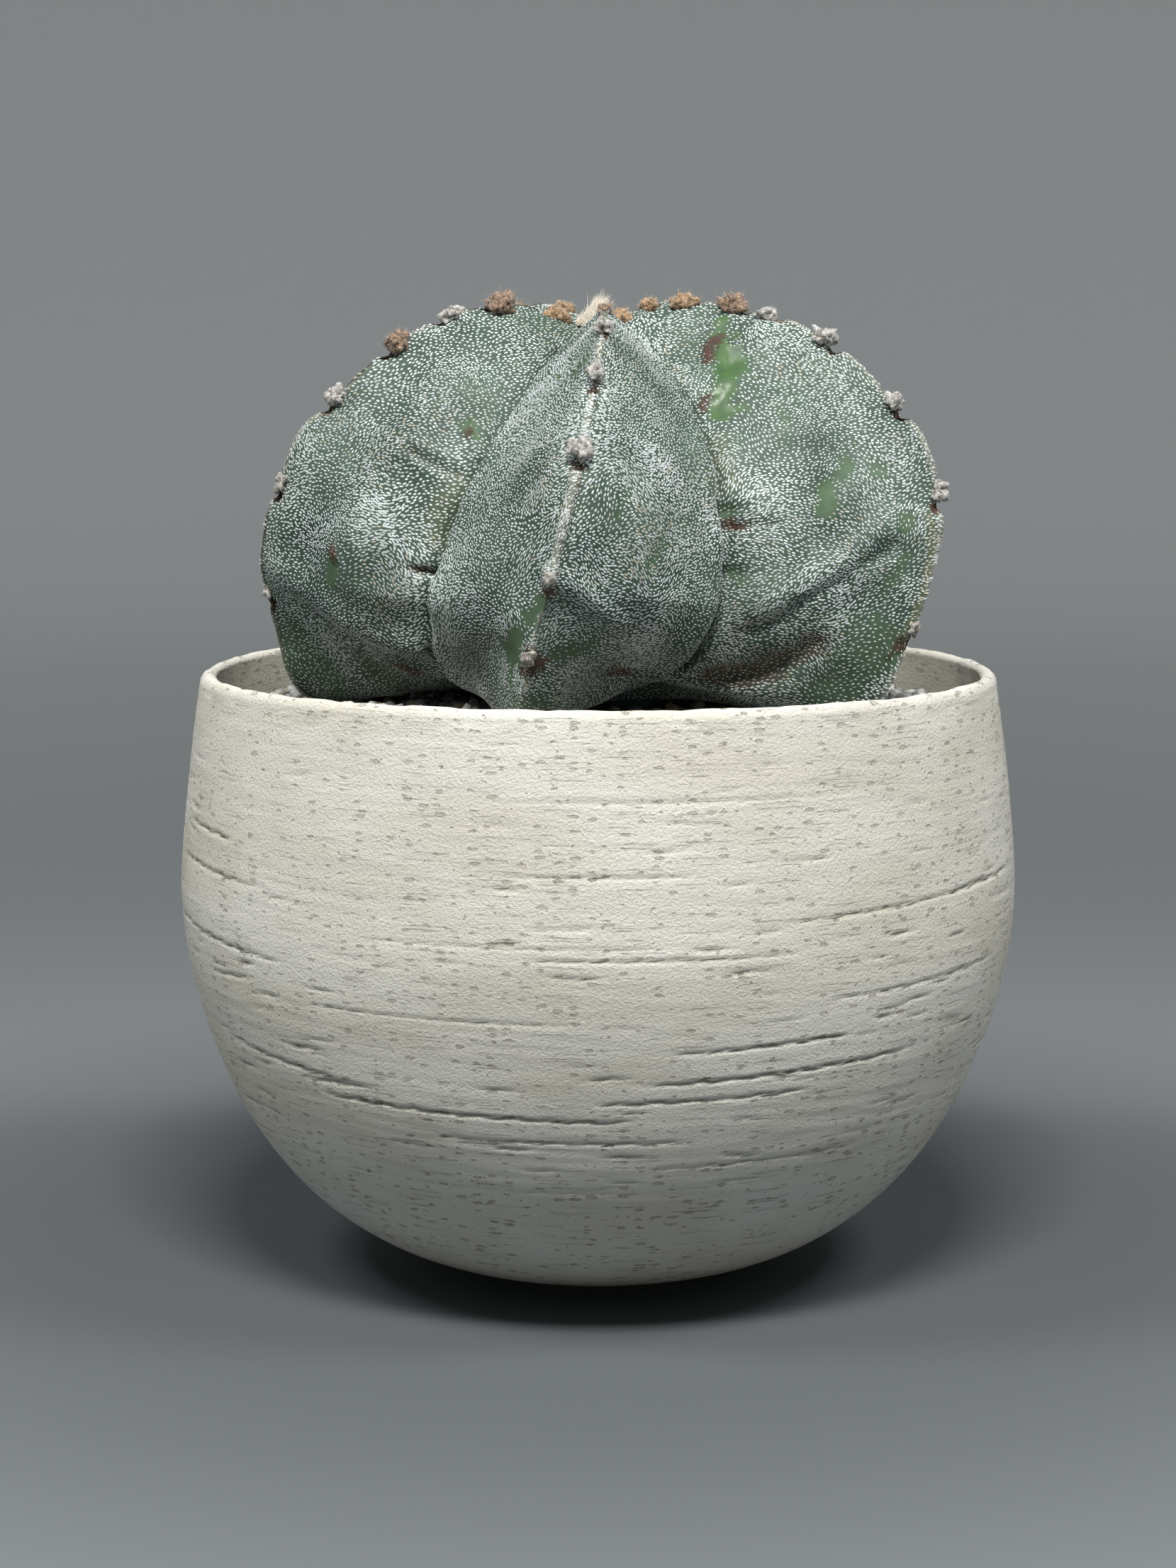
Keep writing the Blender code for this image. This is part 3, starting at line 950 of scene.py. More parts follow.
@dataclass
class Plant:
    """The grown body: five ribs around an axis, each with a crest and two flanks.

    The crest, furrow and tip tables are (radius, height) points in millimetres.
    """

    ribs: int = 5
    tip: tuple = (0.0, 203.5)
    crest: tuple = ((9.0, 205.5), (20.0, 207.3), (31.5, 205.3), (43.8, 199.8), (56.3, 189.6),
                    (65.8, 177.4), (71.4, 165.0), (73.2, 152.0), (70.0, 139.5), (63.8, 124.4),
                    (50.0, 123.2), (36.0, 126.4))
    full_crest: tuple = ((9.0, 205.5), (21.0, 206.9), (34.0, 204.8), (47.3, 200.4),
                         (60.2, 191.5), (70.0, 180.2), (74.7, 168.0), (75.6, 155.0),
                         (73.6, 141.5), (66.0, 124.6), (51.0, 123.2), (36.0, 126.4))
    furrow: tuple = ((5.0, 202.6), (12.0, 199.5), (20.0, 194.0), (28.5, 186.5),
                     (37.0, 176.0), (43.5, 165.0), (47.5, 154.0), (48.5, 145.5),
                     (46.2, 137.6), (40.5, 131.4), (30.5, 129.8), (27.0, 126.4))
    fullness: tuple = (0.1, 1.0, 0.3, 0.6, 0.0)
    lean: tuple = (0.8 * MM, 0.0, 0.0)
    neck_radius: float = 24.0 * MM
    neck_top: float = 122.5 * MM
    neck_foot: float = 108.0 * MM
    foot: float = 122.8 * MM
    keel_pinch: float = 2.6
    keel_top: float = 0.72
    keel_foot: float = 0.86
    bulge: float = 15.0 * MM
    bulge_ends: float = 0.80
    bulge_fade: float = 0.16
    crest_rounding: float = 0.05
    column_ease: float = 1.25
    twist_top: float = math.radians(2.0)
    twist_whole: float = math.radians(-24.0)
    twist_power: float = 2.0
    heart: float = 160.0 * MM
    scallop: float = 1.5 * MM
    scallop_reach: float = 7.0 * MM
    seam_reach: float = 1.2 * MM
    seam_strength: float = 0.75
    notch_reach_mm: float = 1.15
    notch_below: float = 0.017
    notch_half: float = 0.05
    scallop_dip: float = 0.35
    swells: tuple = ((24.0, 0.7), (10.0, 0.26), (5.0, 0.12))
    sides: int = 400
    rows: int = 190
    neck_rows: int = 6

    def twist(self, down: Array) -> Array:
        """How far the ribs have turned at each step down."""
        return self.twist_top + self.twist_whole * down**self.twist_power

    def surface(self, down: Array, rib: Array, across: Array) -> Array:
        """Places on the plain ribbed form.

        Args:
            down: 0 at the tip to 1 at the neck.
            rib: The rib's number.
            across: -1 at the rib's left furrow, 0 on its crest, 1 at its right furrow.

        Returns:
            One row of metres for each place.
        """
        full = np.asarray(self.fullness)[rib.astype(int) % self.ribs][:, None]
        crest = catmull((self.tip, *self.crest), down) * (1 - full)
        crest += catmull((self.tip, *self.full_crest), down) * full
        furrow = catmull((self.tip, *self.furrow), down)
        share = np.abs(across)
        soft = np.sqrt(share**2 + self.crest_rounding**2)
        soft -= self.crest_rounding * (1 - share)
        share = np.minimum(soft / math.sqrt(1 + self.crest_rounding**2), 1.0)
        pinch = 1 + self.keel_pinch * smooth_step(self.keel_top, self.keel_foot, down)
        share = 1 - (1 - share) ** pinch
        step = FULL_TURN / self.ribs
        turn = self.twist(down)
        crest_angle = rib * step + turn
        furrow_angle = (rib + np.where(across < 0, -0.5, 0.5)) * step + turn
        out, back = crest[:, 0] * (1 - share), furrow[:, 0] * share
        x = out * np.sin(crest_angle) + back * np.sin(furrow_angle)
        y = -out * np.cos(crest_angle) - back * np.cos(furrow_angle)
        z = crest[:, 1] * (1 - share) + furrow[:, 1] * share
        place = np.stack([x, y, z], axis=1) * MM
        width = np.minimum(furrow[:, 0] / self.furrow[6][0], 1.0)
        fade = np.clip((self.bulge_ends - down) / self.bulge_fade, 0, 1)
        bulge = self.bulge * width * fade * share * np.sqrt(np.maximum(1 - share, 0))
        settled = smooth_step(self.neck_top, self.heart, place[:, 2])[:, None]
        place += bulge[:, None] * self.away(place) + settled * np.asarray(self.lean)
        place[:, 2] = np.maximum(place[:, 2], self.foot)
        return place

    def away(self, place: Array) -> Array:
        """Directions that point away from the plant's heart."""
        return unit((place - [0, 0, self.heart]) * [1, 1, 0.8])

    def grid(self, body: bpy.types.Object) -> None:
        """Turn a sphere's vertices into steps down, ribs and steps across.

        Args:
            body: The sphere.
        """
        ball = get_points(body)
        self.row = np.round(np.arccos(np.clip(ball[:, 2], -1, 1)) / math.pi * self.rows)
        turn = np.arctan2(ball[:, 0], -ball[:, 1]) / FULL_TURN * self.ribs
        self.angle = turn / self.ribs * FULL_TURN
        self.rib = np.round(turn) % self.ribs
        across = np.clip((turn - np.round(turn)) * 2, -1, 1)
        self.across = np.sign(across) * np.abs(across)**self.column_ease
        self.body_rows = self.rows - self.neck_rows
        self.down = np.minimum(self.row / self.body_rows, 1.0)

    def scallops(self, base: Array) -> Array:
        """How the crest swells between its areoles. It also stores the seam along the crest.

        Args:
            base: The vertices of the plain form.

        Returns:
            One row for each vertex, how far it moves.
        """
        push = np.zeros(len(base))
        for rib in range(self.ribs):
            here = self.rib == rib
            stops = [0.0, *sorted(a.down for a in AREOLES if a.rib == rib), 0.9]
            span = np.interp(self.down[here], stops, np.arange(len(stops)))
            push[here] = np.sqrt(np.abs(np.sin(math.pi * span)) + 1e-9) - self.scallop_dip
        top = self.surface(self.down, self.rib, np.zeros(len(base)))
        gap = np.linalg.norm(base - top, axis=1)
        line = smooth_step(self.seam_reach, 0.2 * self.seam_reach, gap)
        self.traces["seam"] = self.seam_strength * line
        near = np.exp(-(gap / self.scallop_reach)**2)
        fade = smooth_step(0.86, 0.5, self.down) * smooth_step(0.02, 0.12, self.down)
        return (self.scallop * push * near * fade)[:, None] * self.away(top)

    def apply_marks(self, base: Array, marks: dict[int, list[Mark]]) -> tuple[Array, dict]:
        """How the marks raise the surface and what they leave on it.

        Args:
            base: The vertices of the plain form.
            marks: The marks of each rib.

        Returns:
            The rise of each vertex, and the strength of each trace by its name.
        """
        rise = np.zeros(len(base))
        traces = {name: np.zeros(len(base)) for name in TRACES}
        ragged = 1 + 0.22 * soft_noise(base, 3.0 * MM, 71)
        for rib, mark in ((rib, mark) for rib, row in marks.items() for mark in row):
            here = np.flatnonzero(self.rib == rib)
            steps = max(24, 20 * (len(mark.path) - 1))
            way = catmull(mark.path, np.linspace(0, 1, steps))
            line = self.surface(way[:, 0], np.full(steps, rib), way[:, 1])
            gap = np.linalg.norm(base[here, None] - line[None], axis=2).min(axis=1)
            gap /= mark.reach * MM
            rise[here] += mark.rise * MM * np.exp(-gap**2)
            patch = smooth_step(1.3, 0.2, gap) if mark.tan else smooth_step(
                1.12, 0.86, gap * ragged[here])
            for name, trace in traces.items():
                trace[here] = np.maximum(trace[here], getattr(mark, name) * patch)
        return rise, traces

    def notch(self, areole: Areole) -> Mark:
        """The corky notch under a pad."""
        down, half = areole.down + self.notch_below, self.notch_half
        return Mark(((down, -half), (down, half)), self.notch_reach_mm, -areole.notch, cork=0.95)

    def build(self, skin: bpy.types.Material) -> None:
        """Shape a sphere's rows and columns into the body with its folds and scars.

        Args:
            skin: Its material.
        """
        deselect()
        bpy.ops.mesh.primitive_uv_sphere_add(segments=self.sides, ring_count=self.rows,
                                             radius=1.0)
        body = bpy.context.object
        body.name = body.data.name = "cactus_body"
        body.data.uv_layers[0].name = BAKE_MAP
        self.grid(body)
        base = self.surface(self.down, self.rib, self.across)
        self.close_ends(base)
        set_points(body, base)
        marks = {rib: [*row, *map(self.notch, (a for a in AREOLES if a.rib == rib))]
                 for rib, row in MARKS.items()}
        rise, self.traces = self.apply_marks(base, marks)
        for number, (size, height) in enumerate(self.swells):
            rise += soft_noise(base, size * MM, 11 + number) * height * MM
        fade = smooth_step(0.0, 0.05, self.down) * smooth_step(0.97, 0.85, self.down)
        points = base + get_normals(body) * (rise * fade)[:, None] + self.scallops(base)
        self.close_ends(points)
        set_points(body, points)
        for name, trace in self.traces.items():
            set_attribute(body, name, trace)
        body.data.shade_smooth()
        body.data.materials.append(skin)
        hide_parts("cactus")
        settle(body)
        self.points, self.normals = points, get_normals(body)
        self.body = body

    def close_ends(self, points: Array) -> None:
        """Place the tip, and the neck's rows down into the soil.

        Args:
            points: The vertices, which are changed.
        """
        points[self.row == 0] = (0, 0, self.tip[1] * MM)
        low = self.row > self.body_rows
        share = (self.row[low] - self.body_rows - 1) / (self.neck_rows - 2)
        points[low, 0] = self.neck_radius * np.sin(self.angle[low])
        points[low, 1] = -self.neck_radius * np.cos(self.angle[low])
        points[low, 2] = self.neck_top + (self.neck_foot - self.neck_top) * np.minimum(share, 1)
        points[self.row == self.rows] = (0, 0, self.neck_foot)

    def spot(self, rib: int, down: float) -> tuple[Array, Array, Array]:
        """A place on a crest of the finished body.

        Args:
            rib: The rib's number.
            down: How far down its crest.

        Returns:
            The place, the direction out of the crest and the direction down it.
        """
        here = np.flatnonzero((self.rib == rib) & (np.abs(self.across) < 1e-6))
        here = here[np.argsort(self.down[here])]
        rows = self.down[here]
        place = np.array([np.interp(down, rows, self.points[here, k]) for k in range(3)])
        ahead = self.surface(np.array([down - 0.02, down + 0.02]), np.full(2, rib), np.zeros(2))
        along = ahead[1] - ahead[0]
        along /= np.linalg.norm(along)
        out = self.away(place[None])[0]
        out -= along * (out @ along)
        return place, out / np.linalg.norm(out), along


@dataclass
class FleckCoat:
    """The tiny felt tufts on the skin, evenly spread as they grow. Lengths in millimetres.

    Above the worm heights they are near round dots; below, they stretch into short worms.
    """

    spacing: float = 0.605
    tries: float = 14.0
    longer: float = 1.26
    long_half: float = 0.41
    short_half: float = 0.235
    worm_gain: float = 0.35
    rise: float = 0.11
    sink: float = 0.015
    lowest: float = 123.4
    swing: float = 0.55
    swing_size: float = 9.0
    stray: float = 0.22
    apart_limits: tuple = (0.75, 1.7)
    worm_heights: tuple = (196.0, 150.0)
    unevenness: tuple = (0.8, 1.15)
    peaks: tuple = (0.7, 1.2)
    bake_reach: float = 0.0003
    corners: int = 6
    tone_shares: tuple = (0.32, 0.34, 0.28)
    seed: int = 5

    def candidates(self, body: bpy.types.Object, names: Sequence[str]) -> dict:
        """Random places all over the body, with what the surface is like there.

        Args:
            body: The plant's body.
            names: The traces to read.

        Returns:
            Rows of places, normals and bake spots, and each trace, by name.
        """
        mesh = body.data
        mesh.calc_loop_triangles()
        corners = read_rows(mesh.loop_triangles, "vertices", 3, np.int32)
        loops = read_rows(mesh.loop_triangles, "loops", 3, np.int32)
        points, normals = get_points(body), get_normals(body)
        spots = read_rows(mesh.uv_layers[BAKE_MAP].data, "uv", 2)
        a, b, c = (points[corners[:, k]] for k in range(3))
        area = np.linalg.norm(np.cross(b - a, c - a), axis=1) / 2 / MM**2
        area[np.minimum(np.minimum(a[:, 2], b[:, 2]), c[:, 2]) < self.lowest * MM] = 0
        draw = np.random.default_rng(self.seed)
        count = int(area.sum() * self.tries)
        pick = draw.choice(len(area), size=count, p=area / area.sum())
        u, v = draw.random((2, count))
        over = u + v > 1
        u[over], v[over] = 1 - u[over], 1 - v[over]
        weights = np.stack([1 - u - v, u, v], axis=1)[:, :, None]

        def at(rows: Array, index: Array) -> Array:
            """Rows read at each candidate's place in its triangle."""
            return (rows[index[pick]] * weights).sum(axis=1)

        found = {"place": at(points, corners), "normal": unit(at(normals, corners)),
                 "spot": at(spots, loops)}
        for name in names:
            values = np.empty(len(points), np.float32)
            mesh.attributes[name].data.foreach_get("value", values)
            found[name] = at(values[:, None].astype(float), corners)[:, 0]
        LOG.info("felted skin: %.0f square mm, %d tries", area.sum(), count)
        return found

    def flow(self, found: dict) -> None:
        """Add the way each candidate's long and short side would lie.

        Args:
            found: The candidates, which get two more rows each.
        """
        places, out = found["place"], found["normal"]
        draw = np.random.default_rng(self.seed + 3)
        level = unit(np.cross([0, 0, 1.0], out) + 1e-9)
        swing = self.swing * soft_noise(places, self.swing_size * MM, 41)
        swing += self.stray * draw.normal(size=len(places))
        found["first"] = level * np.cos(swing)[:, None]
        found["first"] += np.cross(out, level) * np.sin(swing)[:, None]
        found["second"] = np.cross(out, found["first"])

    def spread(self, found: dict) -> Array:
        """Keep candidates that stay apart, further along their long side, in random order.

        Args:
            found: The candidates.

        Returns:
            The numbers of the kept ones.
        """
        places = found["place"]
        draw = np.random.default_rng(self.seed + 1)
        thin = 1 + 0.08 * soft_noise(places, 7.0 * MM, 31) + 0.5 * found["bare"]
        thin += 0.09 * np.maximum(soft_noise(places, 15.0 * MM, 33), 0)
        apart = self.spacing * MM * np.clip(thin - 0.2 * found["seam"], *self.apart_limits)
        drop = draw.random(len(places)) < np.clip(found["bare"] * 1.05, 0, 1)
        drop |= draw.random(len(places)) < 1.8 * (found["cork"] - 0.45)
        tree = KDTree(len(places))
        for number, place in enumerate(places):
            tree.insert(place, number)
        tree.balance()
        taken = bytearray(drop.astype(np.uint8).tobytes())
        kept = []
        for number, place in enumerate(places):
            if taken[number]:
                continue
            kept.append(number)
            reach = apart[number]
            long = Vector(found["first"][number] / self.longer)
            short = Vector(found["second"][number] * self.longer)
            middle = Vector(place)
            for spot, near, _ in tree.find_range(place, reach * self.longer):
                if not taken[near]:
                    step = spot - middle
                    if step.dot(long)**2 + step.dot(short)**2 < reach * reach:
                        taken[near] = 1
        return np.asarray(kept)

    def build(self, plant: Plant, materials: Sequence[bpy.types.Material]) -> None:
        """Grow the flecks as low felt domes, one piece for each tone.

        Args:
            plant: The finished plant.
            materials: One for each tone, the last for places with a tan or brown tint.
        """
        found = self.candidates(plant.body, ("bare", "cork", "tan", "seam"))
        self.flow(found)
        kept = self.spread(found)
        found = {name: rows[kept] for name, rows in found.items()}
        places, out = found["place"], found["normal"]
        first, second = found["first"], found["second"]
        count = len(places)
        draw = np.random.default_rng(self.seed + 2)
        worm = smooth_step(*self.worm_heights, places[:, 2] / MM)
        worm = np.clip(worm + 0.3 * soft_noise(places, 12.0 * MM, 43), 0, 1.3)
        worm *= draw.random(count)**0.6
        fuller = 1 + 0.10 * soft_noise(places, 14.0 * MM, 44) + 0.07 * draw.normal(size=count)
        fuller *= 1 - 0.35 * np.clip(found["bare"] + found["cork"], 0, 1)
        long = self.long_half * MM * (1 + self.worm_gain * worm) * fuller
        short = self.short_half * MM * (1 - 0.12 * worm) * fuller
        turns = np.arange(self.corners) * FULL_TURN / self.corners
        points = np.empty((count, self.corners + 1, 3))
        for corner, turn in enumerate(turns):
            uneven = draw.uniform(*self.unevenness, (count, 1))
            edge = first * (long * math.cos(turn))[:, None]
            edge += second * (short * math.sin(turn))[:, None]
            points[:, corner] = places + edge * uneven - out * self.sink * MM
        peak = self.rise * MM * draw.uniform(*self.peaks, (count, 1))
        points[:, -1] = places + out * peak
        around = self.bake_reach * np.stack([np.cos(turns), np.sin(turns)], axis=1)
        spots = found["spot"][:, None, :] + np.concatenate([around, [[0.0, 0.0]]])[None]
        fan = np.array([(k, (k + 1) % self.corners, self.corners)
                        for k in range(self.corners)])
        rank = draw.normal(size=count) + 0.7 * soft_noise(places, 16.0 * MM, 47)
        limits = np.quantile(rank, np.cumsum(self.tone_shares))
        tone = np.searchsorted(limits, rank)
        tint = found["tan"] + 0.8 * found["cork"] + 0.35 * found["seam"]
        tinted = tint > draw.uniform(0.2, 0.9, count)
        tone[tinted] = len(materials) - 1
        for number, material in enumerate(materials):
            mine = tone == number
            mesh_piece(f"felt_flecks_{number + 1}", points[mine].reshape(-1, 3),
                       repeat_faces(fan, mine.sum(), self.corners + 1), material,
                       spots[mine].reshape(-1, 2))


@dataclass(frozen=True)
class PadStyle:
    """How the pads of one mood look. Lengths are shares of the pad's width."""

    lumps: int
    height: float
    lift: float
    crumble: float
    crumb_size_mm: float
    hairs: int
    hair_mm: float
    wildness: float


PAD_STYLES = {
    YOUNG: PadStyle(4, 0.62, 0.26, 0.20, 1.0, 300, 0.8, 0.5),
    WOOLLY: PadStyle(4, 0.80, 0.36, 0.24, 1.0, 300, 1.2, 0.9),
    CORKY: PadStyle(3, 0.66, 0.30, 0.24, 1.1, 40, 0.6, 0.6),
    WORN: PadStyle(1, 0.42, 0.05, 0.16, 0.9, 0, 0.0, 0.0),
}


@dataclass
class AreoleRow:
    """All felt pads along the crests, with their hairs. A pad is a few crumbly lumps."""

    ball_steps: int = 3
    lump_share: tuple = (0.52, 0.72)
    lump_lift: tuple = (-0.08, 0.12)
    lump_along: tuple = (0.9, 1.15)
    lump_across: tuple = (0.85, 1.1)
    lump_flatness: float = 1.24
    hair_girth: float = 0.055 * MM
    hair_root: float = 0.15 * MM
    hair_lengths: tuple = (0.45, 1.1)
    hair_curl: float = 0.5
    seed: int = 21

    def lump(self, centre: Array, axes: Array, radius: float, crumble: float, crumb: float,
             seed: int) -> Array:
        """One crumbly lump's vertices.

        Args:
            centre: Its middle.
            axes: Its three half lengths as rows.
            radius: Its mean half length.
            crumble: How deep its crumbs are, as a share of the radius.
            crumb: The size of a crumb.
            seed: The seed of its crumbs.

        Returns:
            The vertices.
        """
        points = centre + self.ball @ axes
        rough = soft_noise(points, crumb, seed, 16) + 0.6 * soft_noise(points, crumb / 2, seed + 1)
        return points + unit(points - centre) * (radius * crumble * rough)[:, None]

    def build(self, plant: Plant, felts: dict, wools: dict) -> None:
        """Model every pad and its hairs, one piece for each mood.

        Args:
            plant: The finished plant.
            felts: The pad material of each mood.
            wools: The hair material of each mood that has hairs.
        """
        self.ball, faces = round_shape(self.ball_steps)
        draw = np.random.default_rng(self.seed)
        for mood, style in PAD_STYLES.items():
            shapes, roots, ways = [], [], []
            for areole in (a for a in AREOLES if a.mood is mood):
                place, out, along = plant.spot(areole.rib, areole.down)
                side = np.cross(out, along)
                half = areole.width * MM / 2
                for number in range(style.lumps):
                    small = 1.0 if style.lumps == 1 else draw.uniform(*self.lump_share)
                    spin = FULL_TURN * number / style.lumps + draw.uniform(0, 1.5)
                    off = half * (1 - small) * 0.95
                    centre = place + off * (math.cos(spin) * along + math.sin(spin) * side)
                    lift = style.lift + draw.uniform(*self.lump_lift)
                    centre = centre + out * half * lift
                    axes = half * small * np.stack([along * draw.uniform(*self.lump_along),
                                                    side * draw.uniform(*self.lump_across),
                                                    out * style.height * self.lump_flatness])
                    seed = int(draw.integers(1, 9999))
                    shapes.append(self.lump(centre, axes, half * small, style.crumble,
                                            style.crumb_size_mm * MM, seed))
                if style.hairs:
                    grown = np.concatenate(shapes[-style.lumps:])
                    outer = grown[(grown - place) @ out > -0.05 * half]
                    chosen = outer[draw.integers(0, len(outer), style.hairs)]
                    roots.append(chosen)
                    ways.append(unit(chosen - place + out * half * 0.2))
            mesh_piece(f"areoles_{mood.name.lower()}", np.concatenate(shapes),
                       repeat_faces(faces, len(shapes), len(self.ball)), felts[mood])
            if roots:
                self.grow_hairs(f"areole_wool_{mood.name.lower()}", np.concatenate(roots),
                                np.concatenate(ways), style, draw, wools[mood])

    def grow_hairs(self, name: str, roots: Array, ways: Array, style: PadStyle,
                   draw: np.random.Generator, wool: bpy.types.Material) -> None:
        """Add short curly hairs on a mood's pads.

        Args:
            name: The piece's name.
            roots: Where the hairs start.
            ways: The way out of the pad at each root.
            style: The pads' style.
            draw: The random draws.
            wool: The hairs' material.
        """
        count = len(roots)
        length = style.hair_mm * MM * draw.uniform(*self.hair_lengths, (count, 1))
        wild = unit(ways + style.wildness * draw.normal(size=(count, 3)))
        bend = draw.normal(size=(count, 3)) * length * self.hair_curl
        points, faces, spots = hairs(roots - ways * self.hair_root, roots + wild * length,
                                     self.hair_girth, bend, 2, draw)
        mesh_piece(name, points, faces, wool, spots)


@dataclass
class TipWool:
    """The tuft of silky wool over the growing tip. Lengths in millimetres."""

    count: int = 2600
    spread: float = 4.4
    longest: float = 6.2
    foot: float = 203.2
    girth: float = 0.085
    lean: tuple = (0.50, 0.05, 1.0)
    centre: tuple = (-1.4, -1.0)
    dome: float = 1.6
    edge_length: float = 0.35
    lengths: tuple = (0.7, 1.1)
    gather: float = 0.06
    close: float = 0.25
    stray: float = 0.12
    curl: float = 0.16
    seed: int = 33

    def build(self, wool: bpy.types.Material) -> None:
        """Grow the hairs from the tip so that they close to a leaning point.

        Args:
            wool: Their material.
        """
        draw = np.random.default_rng(self.seed)
        radius = self.spread * np.sqrt(draw.random(self.count))
        turn = draw.uniform(0, FULL_TURN, self.count)
        flat = np.stack([radius * np.sin(turn), -radius * np.cos(turn)], axis=1)
        inward = 1 - radius / self.spread
        foot = self.foot + self.dome * inward
        roots = np.column_stack([flat + self.centre, foot])
        length = self.longest * (self.edge_length + (1 - self.edge_length) * inward)
        length *= draw.uniform(*self.lengths, self.count)
        ways = np.column_stack([-flat * self.gather, np.zeros(self.count)]) + self.lean
        ways += self.stray * draw.normal(size=ways.shape)
        bend = self.curl * length[:, None] * draw.normal(size=(self.count, 3))
        bend += np.column_stack([-flat * self.close, np.zeros(self.count)])
        points, faces, spots = hairs(roots * MM, (roots + unit(ways) * length[:, None]) * MM,
                                     self.girth * MM, bend * MM, 3, draw)
        mesh_piece("tip_wool", points, faces, wool, spots)


# ---------------------------------------------------------------- the bowl


@dataclass(frozen=True)
class Score:
    """A long scored line on the bowl. Lengths in millimetres, azimuths in degrees."""

    height: float
    start: float
    end: float
    depth: float
    climb: float = 0.0


SCORES = tuple(Score(*row) for row in (
    (113.5, -14, 36, 0.2975), (99.5, -12, 12, 0.51), (101, -74, -58, 0.595, -0.9),
    (93, -76, -50, 0.51, -1.35), (90.5, 24, 72, 0.68, 2.025), (86, -30, 8, 0.2975),
    (83.5, -8, 26, 0.5525), (79, -78, -46, 0.68, -2.25), (74, 30, 66, 0.51, 1.35),
    (70.5, -40, -4, 0.34), (64.8, 10, 34, 0.68, 1.44), (59, 6, 46, 0.765, 2.25),
    (54.5, 0, 28, 0.68, 0.9), (56.9, -64, -36, 0.595, -3.6), (50.7, -40, 4, 0.8075, -1.53),
    (45.5, -22, 12, 0.595, -0.225), (40, 8, 40, 0.425, 0.9), (34, -30, 2, 0.2975, -0.45),
    (118, 95, 150, 0.34, 0.45), (104, 120, 175, 0.595), (96, 178, 232, 0.51, -0.9),
    (88, 92, 140, 0.595, 1.35), (81, 150, 205, 0.68), (73, 210, 262, 0.51, -1.35),
    (66, 100, 156, 0.595, 0.9), (61, 185, 240, 0.68), (55, 130, 180, 0.595, -0.9),
    (49, 200, 258, 0.765, 1.35), (44, 96, 140, 0.51), (38, 160, 210, 0.425, 0.45),
    (108, 232, 276, 0.425, 0.675),
))


